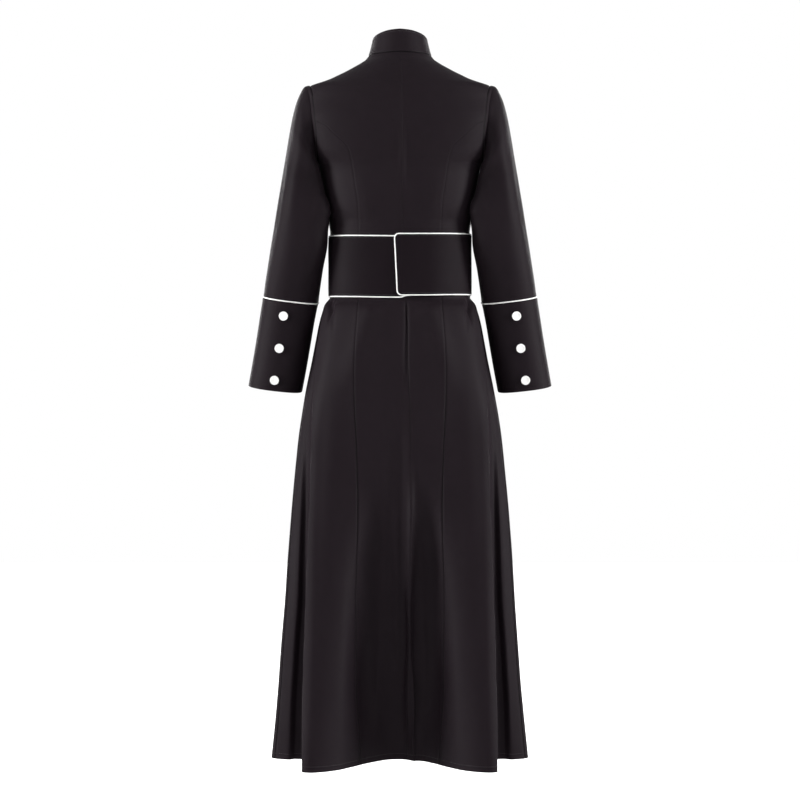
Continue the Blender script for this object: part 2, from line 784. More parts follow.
class Graph:
    """A short way to write a node tree."""

    def __init__(self, tree: Tree) -> None:
        """Keeps the tree."""
        self.tree = tree

    def node(self, kind: str, **settings: object) -> Node:
        """A new node.

        Args:
            kind: the node's type.
            **settings: its properties.

        Returns:
            The node.
        """
        made = self.tree.nodes.new(kind)
        for name, value in settings.items():
            setattr(made, name, value)
        return made

    def put(self, source: object, target: Socket) -> None:
        """Feeds a socket.

        Args:
            source: a socket to link, or a value to set.
            target: the socket fed.
        """
        if isinstance(source, Socket):
            self.tree.links.new(source, target)
        else:
            target.default_value = source

    def feed(self, node: Node, **sources: object) -> Node:
        """Feeds a node's inputs by name, with an underscore for each space in a name.

        Args:
            node: the node.
            **sources: sockets to link, or values to set.

        Returns:
            The node.
        """
        for name, source in sources.items():
            self.put(source, node.inputs[name.replace("_", " ")])
        return node

    def maths(self, operation: str, *values: object, clamp: bool = False) -> Socket:
        """The result of a Math node.

        Args:
            operation: what it does.
            *values: numbers or sockets.
            clamp: True to keep the result from 0 to 1.

        Returns:
            Its output.
        """
        made = self.node("ShaderNodeMath", operation=operation, use_clamp=clamp)
        for value, socket in zip(values, made.inputs):
            self.put(value, socket)
        return made.outputs[0]

    def blend(self, share: object, first: object, second: object) -> Socket:
        """The colour of a Mix node.

        Args:
            share: of the second colour, a number or a socket.
            first: a colour or a socket.
            second: a colour or a socket.

        Returns:
            Its output.
        """
        made = self.node("ShaderNodeMix", data_type="RGBA")
        self.put(share, made.inputs[0])
        for value, index in ((first, 6), (second, 7)):
            self.put((*value, 1.0) if isinstance(value, tuple) else value, made.inputs[index])
        return made.outputs[2]

    def ramp(self, source: object, low: float, high: float) -> Socket:
        """A soft step from 0 to 1 as the source goes from low to high."""
        made = self.node("ShaderNodeMapRange", interpolation_type="SMOOTHSTEP")
        return self.feed(made, Value=source, From_Min=low, From_Max=high).outputs["Result"]

    def bump(self, height: object, strength: float, distance: float) -> Socket:
        """A bump for a shader's normal, its full height in metres."""
        made = self.node("ShaderNodeBump")
        return self.feed(made, Strength=strength, Distance=distance, Height=height).outputs[0]


def start_tree(kind: str, name: str, inputs: dict[str, str], outputs: dict[str, str]) -> Graph:
    """Starts a node tree with named sockets.

    Args:
        kind: of tree, "Shader" or "Geometry".
        name: the tree's name.
        inputs: names and types of its inputs.
        outputs: names and types of its outputs.

    Returns:
        A graph to fill it with.
    """
    tree = bpy.data.node_groups.new(name, kind + "NodeTree")
    for way, sockets in (("INPUT", inputs), ("OUTPUT", outputs)):
        for label, socket in sockets.items():
            tree.interface.new_socket(label, in_out=way, socket_type="NodeSocket" + socket)
    return Graph(tree)


class ShaderKit:
    """The node groups that the finishes share, each made once."""

    def __init__(self) -> None:
        """Makes the groups."""
        self.twill = self._twill()
        self.mottle = self._mottle()
        self.wear = self._wear()

    def _twill(self) -> Tree:
        """Diagonal ribs crossed by the threads that make them, from a map in metres.

        Returns:
            The group.
        """
        sizes = {"Map": "Vector", "Pitch": "Float", "Slant": "Float"}
        graph = start_tree("Shader", "twill_weave", sizes, {"Height": "Float", "Rib": "Float"})
        inside, outside = graph.node("NodeGroupInput"), graph.node("NodeGroupOutput")
        parts = graph.node("ShaderNodeSeparateXYZ")
        graph.put(inside.outputs["Map"], parts.inputs[0])
        turn = graph.maths("DIVIDE", 2 * math.pi, inside.outputs["Pitch"])
        across = graph.maths("MULTIPLY", parts.outputs[0], turn)
        down = graph.maths("MULTIPLY", parts.outputs[1], turn)
        slanted = graph.maths("MULTIPLY_ADD", down, inside.outputs["Slant"], across)
        rib = graph.maths("MULTIPLY_ADD", graph.maths("SINE", slanted), 0.5, 0.5)
        thread = graph.maths("SINE", graph.maths("MULTIPLY", graph.maths("SUBTRACT", down, across), 2.0))
        height = graph.maths("MULTIPLY_ADD", thread, 0.18, graph.maths("MULTIPLY", rib, 0.8))
        graph.feed(outside, Height=height, Rib=rib)
        return graph.tree

    def _mottle(self) -> Tree:
        """Slow and fine unevenness of dyed cloth or moulded stuff.

        Returns:
            The group.
        """
        sizes = {"Place": "Vector", "Broad": "Float", "Fine": "Float"}
        graph = start_tree("Shader", "mottle", sizes, {"Broad": "Float", "Fine": "Float"})
        inside, outside = graph.node("NodeGroupInput"), graph.node("NodeGroupOutput")
        for name, detail in (("Broad", 3.0), ("Fine", 4.0)):
            noise = graph.node("ShaderNodeTexNoise", noise_dimensions="3D")
            place, scale = inside.outputs["Place"], inside.outputs[name]
            graph.feed(noise, Vector=place, Scale=scale, Detail=detail, Roughness=0.6)
            graph.put(noise.outputs["Fac"], outside.inputs[name])
        return graph.tree

    def _wear(self) -> Tree:
        """Rubbed places along edges, broken up by noise.

        Returns:
            The group.
        """
        sizes = {"Edge": "Float", "Noise": "Float", "Amount": "Float"}
        graph = start_tree("Shader", "edge_wear", sizes, {"Mask": "Float"})
        inside, outside = graph.node("NodeGroupInput"), graph.node("NodeGroupOutput")
        patchy = graph.ramp(inside.outputs["Noise"], 0.35, 0.7)
        broken = graph.maths("MULTIPLY", inside.outputs["Edge"], patchy)
        mask = graph.maths("MULTIPLY", broken, inside.outputs["Amount"], clamp=True)
        graph.put(mask, outside.inputs["Mask"])
        return graph.tree

    @staticmethod
    def use(graph: Graph, tree: Tree, **values: object) -> Node:
        """Places one of the groups among a material's nodes, with its inputs."""
        return graph.feed(graph.node("ShaderNodeGroup", node_tree=tree), **values)

    def mottled(self, graph: Graph, broad: float, fine: float) -> Node:
        """Places the mottle, on the piece's own coordinates, at these two scales."""
        place = graph.node("ShaderNodeTexCoord").outputs["Object"]
        return self.use(graph, self.mottle, Place=place, Broad=broad, Fine=fine)

    def rubbed(self, graph: Graph, noise: Socket, amount: float) -> Socket:
        """Places the wear on the piece's edges, so strong, and broken up by this noise."""
        edge = graph.node("ShaderNodeAttribute", attribute_name="edge").outputs["Fac"]
        return self.use(graph, self.wear, Edge=edge, Noise=noise, Amount=amount).outputs["Mask"]


def new_material(name: str) -> tuple[Material, Graph, Node]:
    """A material with a Principled shader: itself, a graph of its nodes, and the shader."""
    material = bpy.data.materials.new(name)
    material.use_nodes = True
    return material, Graph(material.node_tree), material.node_tree.nodes["Principled BSDF"]


@dataclass(frozen=True)
class ClothFinish:
    """Woven cloth.

    Attributes:
        name: the material's name.
        dark: colour between the ribs.
        light: colour on the ribs and where it is rubbed.
        pitch: width of a rib, in metres.
        slant: rise of the ribs.
        roughness: the cloth's roughness.
        sheen: strength of its nap.
        depth: height of the weave, in metres.
        wear: how much the edges are rubbed.
        ditch: how dark it is in the ditch of a seam.
        shine: strength of its reflection.
    """

    name: str
    dark: Triple
    light: Triple
    pitch: float = 0.0009
    slant: float = 1.0
    roughness: float = 0.56
    sheen: float = 0.015
    depth: float = 0.00012
    wear: float = 0.5
    ditch: float = 0.9
    shine: float = 0.06

    def build(self, kit: ShaderKit) -> Material:
        """Builds it.

        Args:
            kit: the shared groups.

        Returns:
            The material.
        """
        material, graph, shader = new_material(self.name)
        own_map = graph.node("ShaderNodeUVMap", uv_map="cut")
        weave = kit.use(graph, kit.twill, Map=own_map.outputs[0], Pitch=self.pitch, Slant=self.slant)
        mottle = kit.mottled(graph, 9.0, 420.0)
        broad, fine = mottle.outputs["Broad"], mottle.outputs["Fine"]
        rubbed = kit.rubbed(graph, fine, self.wear)
        tone = graph.maths("MULTIPLY_ADD", broad, 0.5, graph.maths("MULTIPLY", weave.outputs["Rib"], 0.3))
        tone = graph.maths("MULTIPLY_ADD", fine, 0.35, tone, clamp=True)
        colour = graph.blend(tone, self.dark, self.light)
        colour = graph.blend(rubbed, colour, tuple(min(1.0, c * 1.35) for c in self.light))
        ditch = graph.node("ShaderNodeAttribute", attribute_name="seam")
        shade = graph.maths("MULTIPLY", graph.maths("POWER", ditch.outputs["Fac"], 2.0), self.ditch)
        fuzz = graph.maths("MULTIPLY_ADD", fine, 0.6, weave.outputs["Height"])
        graph.feed(
            shader,
            Normal=graph.bump(fuzz, 0.5, self.depth),
            Base_Color=graph.blend(shade, colour, tuple(c * 0.25 for c in self.dark)),
            Roughness=graph.maths("MULTIPLY_ADD", fine, 0.16, self.roughness - 0.08),
            Sheen_Weight=self.sheen,
            Sheen_Roughness=0.3,
            Specular_IOR_Level=self.shine,
        )
        return material


@dataclass(frozen=True)
class PlasticFinish:
    """Moulded plastic with a faint cloud in it and a rubbed rim.

    Attributes:
        name: the material's name.
        dark: its duller colour.
        light: its brighter colour.
        roughness: of its face.
    """

    name: str
    dark: Triple
    light: Triple
    roughness: float = 0.32

    def build(self, kit: ShaderKit) -> Material:
        """Builds it.

        Args:
            kit: the shared groups.

        Returns:
            The material.
        """
        material, graph, shader = new_material(self.name)
        mottle = kit.mottled(graph, 260.0, 1500.0)
        fine = mottle.outputs["Fine"]
        rough = graph.maths("MULTIPLY_ADD", fine, 0.12, self.roughness - 0.06)
        graph.feed(
            shader,
            Normal=graph.bump(fine, 0.15, 0.0001),
            Base_Color=graph.blend(graph.ramp(mottle.outputs["Broad"], 0.3, 0.7), self.dark, self.light),
            Roughness=graph.maths("MULTIPLY_ADD", kit.rubbed(graph, fine, 0.8), 0.15, rough),
            IOR=1.5,
            Coat_Weight=0.12,
        )
        return material


@dataclass(frozen=True)
class ThreadFinish:
    """Sewing thread, a little shinier than the cloth: the material's name and two colours."""

    name: str
    dark: Triple
    light: Triple

    def build(self, kit: ShaderKit) -> Material:
        """Builds it.

        Args:
            kit: the shared groups.

        Returns:
            The material.
        """
        material, graph, shader = new_material(self.name)
        fine = kit.mottled(graph, 300.0, 2500.0).outputs["Fine"]
        graph.feed(
            shader,
            Base_Color=graph.blend(fine, self.dark, self.light),
            Roughness=graph.maths("MULTIPLY_ADD", fine, 0.2, 0.42),
            Sheen_Weight=0.15,
        )
        return material


@dataclass(frozen=True)
class FloorFinish:
    """A plain pale floor: the material's name and colour, and how brightly it is seen."""

    name: str
    colour: Triple
    glow: float = 0.85

    def build(self, kit: ShaderKit) -> Material:
        """Builds it.

        Args:
            kit: the shared groups.

        Returns:
            The material.
        """
        material, graph, shader = new_material(self.name)
        broad = kit.mottled(graph, 1.5, 60.0).outputs["Broad"]
        seen = graph.node("ShaderNodeLightPath").outputs["Is Camera Ray"]
        graph.feed(
            shader,
            Base_Color=graph.blend(broad, tuple(c * 0.985 for c in self.colour), self.colour),
            Roughness=0.9,
            Specular_IOR_Level=0.1,
            Emission_Color=graph.blend(seen, (0.0, 0.0, 0.0), (self.glow,) * 3),
            Emission_Strength=1.0,
        )
        return material


@dataclass
class Finishes:
    """Every finish of the cassock and the studio, built once."""

    kit: ShaderKit = field(default_factory=ShaderKit)
    suiting: Material = field(init=False)
    belting: Material = field(init=False)
    piping: Material = field(init=False)
    button: Material = field(init=False)
    thread: Material = field(init=False)
    floor: Material = field(init=False)

    def __post_init__(self) -> None:
        """Builds the materials."""
        suiting = ClothFinish("black_suiting", (0.0062, 0.0040, 0.0055), (0.0112, 0.0076, 0.0100))
        belting = ClothFinish(
            "black_belting", (0.0049, 0.0031, 0.0043), (0.0086, 0.0058, 0.0076),
            pitch=0.0012, slant=0.0, sheen=0.008, wear=0.3, shine=0.04,
        )
        piping = ClothFinish(
            "white_piping", (0.74, 0.735, 0.72), (0.88, 0.875, 0.86),
            pitch=0.0008, roughness=0.7, wear=0.0, ditch=0.0,
        )
        button = PlasticFinish("white_button", (0.79, 0.785, 0.77), (0.90, 0.895, 0.88))
        thread = ThreadFinish("black_thread", (0.006, 0.005, 0.006), (0.017, 0.013, 0.016))
        self.suiting, self.belting = suiting.build(self.kit), belting.build(self.kit)
        self.piping, self.button = piping.build(self.kit), button.build(self.kit)
        self.thread = thread.build(self.kit)
        self.floor = FloorFinish("pale_floor", (0.66, 0.66, 0.66)).build(self.kit)


# -------------------- meshes


def add_mesh(
    name: str, points: Array, faces: Array, cut: Optional[Array] = None,
    masks: Optional[dict[str, Array]] = None,
) -> Piece:
    """A smooth mesh object of quads with its faces turned outward.

    Args:
        name: the object's name.
        points: vertices, (n, 3).
        faces: corners of the quads, (m, 4).
        cut: map of the cloth in metres, (n, 2).
        masks: named point values from 0 to 1, (n,) each.

    Returns:
        The object, linked to the scene.
    """
    corners = points[faces]
    first = np.cross(corners[:, 1] - corners[:, 0], corners[:, 2] - corners[:, 0])
    second = np.cross(corners[:, 2] - corners[:, 0], corners[:, 3] - corners[:, 0])
    if (corners[:, 0] * (first + second)).sum() < 0:
        faces = faces[:, ::-1]
    mesh = bpy.data.meshes.new(name)
    mesh.vertices.add(len(points))
    mesh.vertices.foreach_set("co", np.ascontiguousarray(points, np.float32).ravel())
    mesh.loops.add(faces.size)
    mesh.loops.foreach_set("vertex_index", np.ascontiguousarray(faces, np.int32).ravel())
    mesh.polygons.add(len(faces))
    mesh.polygons.foreach_set("loop_start", np.arange(len(faces), dtype=np.int32) * 4)
    mesh.polygons.foreach_set("use_smooth", np.ones(len(faces), bool))
    if cut is not None:
        layer = mesh.uv_layers.new(name="cut")
        layer.data.foreach_set("uv", np.ascontiguousarray(cut[faces.ravel()], np.float32).ravel())
    for label, values in (masks or {}).items():
        mesh.attributes.new(label, "FLOAT", "POINT").data.foreach_set("value", values.astype(np.float32))
    mesh.update(calc_edges=True)
    mesh.validate()
    return link(name, mesh)


def link(name: str, data: object) -> Piece:
    """An object of this name for a mesh, a lamp or a camera, linked to the scene."""
    made = bpy.data.objects.new(name, data)
    bpy.context.scene.collection.objects.link(made)
    return made


def quads_between(first: Array, second: Array) -> Array:
    """Quads between two lines of point numbers."""
    return np.stack([first[:-1], first[1:], second[1:], second[:-1]], axis=-1)


@dataclass
class ClothShell:
    """A closed shell of cloth on a grid of points in its middle.

    Attributes:
        name: the piece's name.
        middle: the grid, (rows, columns, 3).
        thickness: of the cloth.
        top: how the first row ends.
        bottom: how the last row ends.
        start: how the first column ends.
        end: how the last column ends.
        tube: True where the last column meets the first.
        tucked: True where the first row is hidden in another piece and the top seam is along the second.
        dip: how far a seam draws the cloth in.
        roll: how wide the turn at a seam is.
        welt: how far the layers turned in at a seam lift the cloth beside it.
        welt_place: how far from the seam that is.
        welt_width: how wide it is.
        thin: share of its thickness that a fold keeps at its end.
        start_depth: share of the dip and of the seam's shade at each row of the first column.
        end_depth: the same along the last column.
    """

    name: str
    middle: Array
    thickness: float = 0.0014
    top: Edge = Edge.SEAM
    bottom: Edge = Edge.FOLD
    start: Edge = Edge.SEAM
    end: Edge = Edge.SEAM
    tube: bool = False
    tucked: bool = False
    dip: float = 0.0009
    roll: float = 0.0032
    welt: float = 0.0004
    welt_place: float = 0.004
    welt_width: float = 0.003
    thin: float = 0.15
    start_depth: Optional[Array] = None
    end_depth: Optional[Array] = None

    def normals(self) -> Array:
        """Directions out of the cloth.

        Returns:
            One for each point of the grid.
        """
        grid = self.middle
        across, away = np.gradient(grid, axis=1), grid * LEVEL_PLANE
        if self.tube:
            across = np.roll(grid, -1, 1) - np.roll(grid, 1, 1)
            away = grid - grid.mean(axis=1, keepdims=True)
        outward = unit(np.cross(across, np.gradient(grid, axis=0)))
        return -outward if (away * outward).sum() < 0 else outward

    def _edge_runs(self) -> tuple[Array, Array, list[tuple[Edge, Array, Array]]]:
        """Distances over the cloth.

        Returns:
            Lengths along rows and down columns, and each edge with the distance to it and its depth.
        """
        across, down = run_of(self.middle, 1), run_of(self.middle, 0)
        below = np.maximum(down - down[1], 0) if self.tucked else down
        runs = [(self.top, below, 1.0), (self.bottom, down[-1:] - down, 1.0)]
        if not self.tube:
            depths = (self.start_depth, self.end_depth)
            first, last = (1.0 if depth is None else depth[:, None] for depth in depths)
            runs += [(self.start, across, first), (self.end, across[:, -1:] - across, last)]
        return across, down, runs

    def build(self) -> Piece:
        """Makes the shell's mesh: outer and inner skins, joined round their edges.

        Returns:
            The piece.
        """
        outward = self.normals()
        across, down, runs = self._edge_runs()
        half = self.thickness / 2
        outer = np.full(across.shape, half)
        inner = outer.copy()
        edge, seam = np.zeros(across.shape), np.zeros(across.shape)
        for kind, away, depth in runs:
            near = np.clip(away / self.roll, 0, 1)
            if kind is Edge.SEAM:
                welt = self.welt * np.exp(-(((away - self.welt_place) / self.welt_width) ** 2))
                outer += depth * (welt - self.dip * (1 - near) ** 2)
                seam = np.maximum(seam, depth * (1 - near))
            else:
                turn = np.sqrt(np.clip(1 - (1 - np.clip(away / half, 0, 1)) ** 2, 0, 1))
                outer *= self.thin + (1 - self.thin) * turn
                inner *= self.thin + (1 - self.thin) * turn
                edge = np.maximum(edge, 1 - np.clip(away / (1.5 * self.roll), 0, 1))
        points = np.concatenate([
            (self.middle + outward * outer[..., None]).reshape(-1, 3),
            (self.middle - outward * inner[..., None]).reshape(-1, 3),
        ])
        cut = np.stack([across - across[:, across.shape[1] // 2][:, None], -down], axis=-1).reshape(-1, 2)
        masks = {"edge": np.tile(edge.ravel(), 2), "seam": np.tile(seam.ravel(), 2)}
        return add_mesh(self.name, points, self._faces(), np.tile(cut, (2, 1)), masks)

    def _faces(self) -> Array:
        """Quads of both skins and of the edges that join them.

        Returns:
            Their corners.
        """
        rows, cols = self.middle.shape[:2]
        index = np.arange(rows * cols).reshape(rows, cols)
        if self.tube:
            index = np.concatenate([index, index[:, :1]], axis=1)
        below = index + rows * cols
        skin = np.concatenate([quads_between(index[i], index[i + 1]) for i in range(rows - 1)])
        parts = [
            skin,
            skin[:, ::-1] + rows * cols,
            quads_between(index[0], below[0])[:, ::-1],
            quads_between(index[-1], below[-1]),
        ]
        if not self.tube:
            parts.append(quads_between(index[:, 0], below[:, 0]))
            parts.append(quads_between(index[:, -1], below[:, -1])[:, ::-1])
        return np.concatenate(parts)


@dataclass
class PathMaker:
    """Cords and rows of stitches along a path, made with Geometry Nodes.

    Attributes:
        step: length of a cord's steps.
        cord_tree: makes a cord.
        stitch_tree: makes a row of stitches.
    """

    step: float = 0.0022
    cord_tree: Tree = field(init=False)
    stitch_tree: Tree = field(init=False)

    def __post_init__(self) -> None:
        """Builds the two trees."""
        self.cord_tree = self._cord()
        self.stitch_tree = self._stitches()

    @staticmethod
    def _tree(name: str, sizes: dict[str, str]) -> tuple[Graph, Node]:
        """Starts a tree that takes a path, these sizes and a finish, and gives its graph and its inputs."""
        inputs = {"Path": "Geometry", **sizes, "Finish": "Material"}
        graph = start_tree("Geometry", name, inputs, {"Mesh": "Geometry"})
        return graph, graph.node("NodeGroupInput")

    @staticmethod
    def _finish(graph: Graph, made: Socket, inside: Node) -> Tree:
        """Ends a tree: Realize Instances, smooth shading and Set Material.

        Args:
            graph: the tree's nodes.
            made: the socket that gives what was made.
            inside: the node of its inputs.

        Returns:
            The tree.
        """
        real = graph.feed(graph.node("GeometryNodeRealizeInstances"), Geometry=made)
        smooth = graph.feed(graph.node("GeometryNodeSetShadeSmooth"), Geometry=real.outputs[0])
        dress = graph.node("GeometryNodeSetMaterial")
        graph.feed(dress, Geometry=smooth.outputs[0], Material=inside.outputs["Finish"])
        graph.put(dress.outputs[0], graph.node("NodeGroupOutput").inputs[0])
        return graph.tree

    def _cord(self) -> Tree:
        """Makes the tree of a round cord, a little uneven, as stuffed piping is.

        Returns:
            The tree.
        """
        graph, inside = self._tree("piping_cord", {"Radius": "Float", "Step": "Float"})
        line = graph.feed(graph.node("GeometryNodeMeshToCurve"), Mesh=inside.outputs["Path"])
        even = graph.node("GeometryNodeResampleCurve", mode="LENGTH")
        graph.feed(even, Curve=line.outputs[0], Length=inside.outputs["Step"])
        ring = graph.node("GeometryNodeCurvePrimitiveCircle", mode="RADIUS")
        graph.feed(ring, Resolution=10, Radius=inside.outputs["Radius"])
        noise = graph.feed(graph.node("ShaderNodeTexNoise"), Scale=160.0)
        wobble = graph.maths("MULTIPLY_ADD", noise.outputs["Fac"], 0.16, 0.92)
        swept = graph.node("GeometryNodeCurveToMesh")
        graph.feed(swept, Curve=even.outputs[0], Profile_Curve=ring.outputs[0], Scale=wobble, Fill_Caps=True)
        return self._finish(graph, swept.outputs[0], inside)

    def _stitches(self) -> Tree:
        """Makes the tree of slim stitches end to end.

        Returns:
            The tree.
        """
        sizes = {"Pitch": "Float", "Thread": "Float", "Length": "Float", "Seed": "Int"}
        graph, inside = self._tree("stitch_row", sizes)
        line = graph.feed(graph.node("GeometryNodeMeshToCurve"), Mesh=inside.outputs["Path"])
        spots = graph.node("GeometryNodeCurveToPoints", mode="LENGTH")
        graph.feed(spots, Curve=line.outputs[0], Length=inside.outputs["Pitch"])
        bead = graph.feed(graph.node("GeometryNodeMeshUVSphere"), Segments=6, Rings=4, Radius=1.0)
        vary = graph.node("FunctionNodeRandomValue", data_type="FLOAT")
        graph.feed(vary, Min=0.86, Max=1.06, Seed=inside.outputs["Seed"])
        half = graph.maths("MULTIPLY", inside.outputs["Length"], 0.5)
        length = graph.maths("MULTIPLY", half, vary.outputs["Value"])
        thread = inside.outputs["Thread"]
        size = graph.feed(graph.node("ShaderNodeCombineXYZ"), X=thread, Y=thread, Z=length)
        place = graph.node("GeometryNodeInstanceOnPoints")
        graph.feed(place, Points=spots.outputs["Points"], Instance=bead.outputs["Mesh"])
        graph.feed(place, Rotation=spots.outputs["Rotation"], Scale=size.outputs[0])
        return self._finish(graph, place.outputs[0], inside)

    @staticmethod
    def _run(
        name: str, tree: Tree, paths: Sequence[tuple[Array, bool]], values: dict[str, object]
    ) -> Piece:
        """Runs a tree on lines and keeps its result as a plain mesh.

        Args:
            name: the piece's name.
            tree: the tree to run.
            paths: lines of points, each with True where it closes.
            values: the tree's named inputs.

        Returns:
            The piece.
        """
        points, edges = [], []
        for path, closed in paths:
            start = len(points)
            points.extend(map(tuple, path))
            edges.extend((start + i, start + i + 1) for i in range(len(path) - 1))
            if closed:
                edges.append((start + len(path) - 1, start))
        mesh = bpy.data.meshes.new(name + "_path")
        mesh.from_pydata(points, edges, [])
        guide = link(name + "_path", mesh)
        modifier = guide.modifiers.new("path", "NODES")
        modifier.node_group = tree
        for item in tree.interface.items_tree:
            if item.item_type == "SOCKET" and item.in_out == "INPUT" and item.name in values:
                modifier[item.identifier] = values[item.name]
        graph = bpy.context.evaluated_depsgraph_get()
        made = bpy.data.meshes.new_from_object(guide.evaluated_get(graph), depsgraph=graph)
        guide.modifiers.remove(modifier)
        bpy.data.objects.remove(guide)
        made.name = name
        return link(name, made)

    def cord(
        self, name: str, path: Array, closed: bool, radius: float, finish: Material
    ) -> Piece:
        """A cord of this radius along a path."""
        values = {"Radius": radius, "Step": self.step, "Finish": finish}
        return self._run(name, self.cord_tree, [(path, closed)], values)

    def stitches(
        self, name: str, paths: Sequence[tuple[Array, bool]], finish: Material,
        pitch: float = 0.0030, length: float = 0.0024, thread: float = 0.00028, seed: int = 1,
    ) -> Piece:
        """Rows of stitches along paths that lie on the cloth."""
        values = {"Pitch": pitch, "Thread": thread, "Length": length, "Finish": finish, "Seed": seed}
        return self._run(name, self.stitch_tree, paths, values)


def settle(
    piece: Piece, finish: Material, nodes: Sequence[str] = ()
) -> Piece:
    """Dresses a piece and ties it to the frame.

    Args:
        piece: the piece.
        finish: its material.
        nodes: the plain solids it stands for.

    Returns:
        The piece.
    """
    if not piece.data.materials:
        piece.data.materials.append(finish)
    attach(piece, "root")
    if nodes:
        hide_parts(*nodes)
    return piece


def declare(
    piece: Piece
) -> None:
    """Declares a piece of cloth, its flat size measured on its own map.

    Args:
        piece: the cloth.
    """
    mesh = piece.data
    corners = np.empty(len(mesh.loops) * 2, np.float32)
    mesh.uv_layers["cut"].data.foreach_get("uv", corners)
    corners = corners.reshape(-1, 2)
    areas = np.empty(len(mesh.polygons), np.float32)
    mesh.polygons.foreach_get("area", areas)


# -------------------- the garment


@dataclass
class GarmentPart:
    """What each part of the garment is made with.

    Attributes:
        form: the body's surface.
        finishes: the materials.
        paths: maker of cords and stitches.
    """

    form: BodyForm
    finishes: Finishes
    paths: PathMaker

    def lay(self, node: str, shell: ClothShell) -> Piece:
        """Makes and dresses a shell of suiting that stands for a solid."""
        return settle(shell.build(), self.finishes.suiting, [node])

    def pipe(self, node: str, path: Array, closed: bool, radius: float) -> Piece:
        """Makes and dresses a piping cord that stands for a solid."""
        cord = self.paths.cord(node + "_cord", path, closed, radius, self.finishes.piping)
        return settle(cord, self.finishes.piping, [node])

    def stitch(self, name: str, rows: Sequence[Array], **sizes: float) -> Piece:
        """Makes and dresses rows of stitches, with the maker's own sizes where none is given."""
        paths = [(row, False) for row in rows]
        sewn = self.paths.stitches(name, paths, self.finishes.thread, **sizes)
        return settle(sewn, self.finishes.thread)


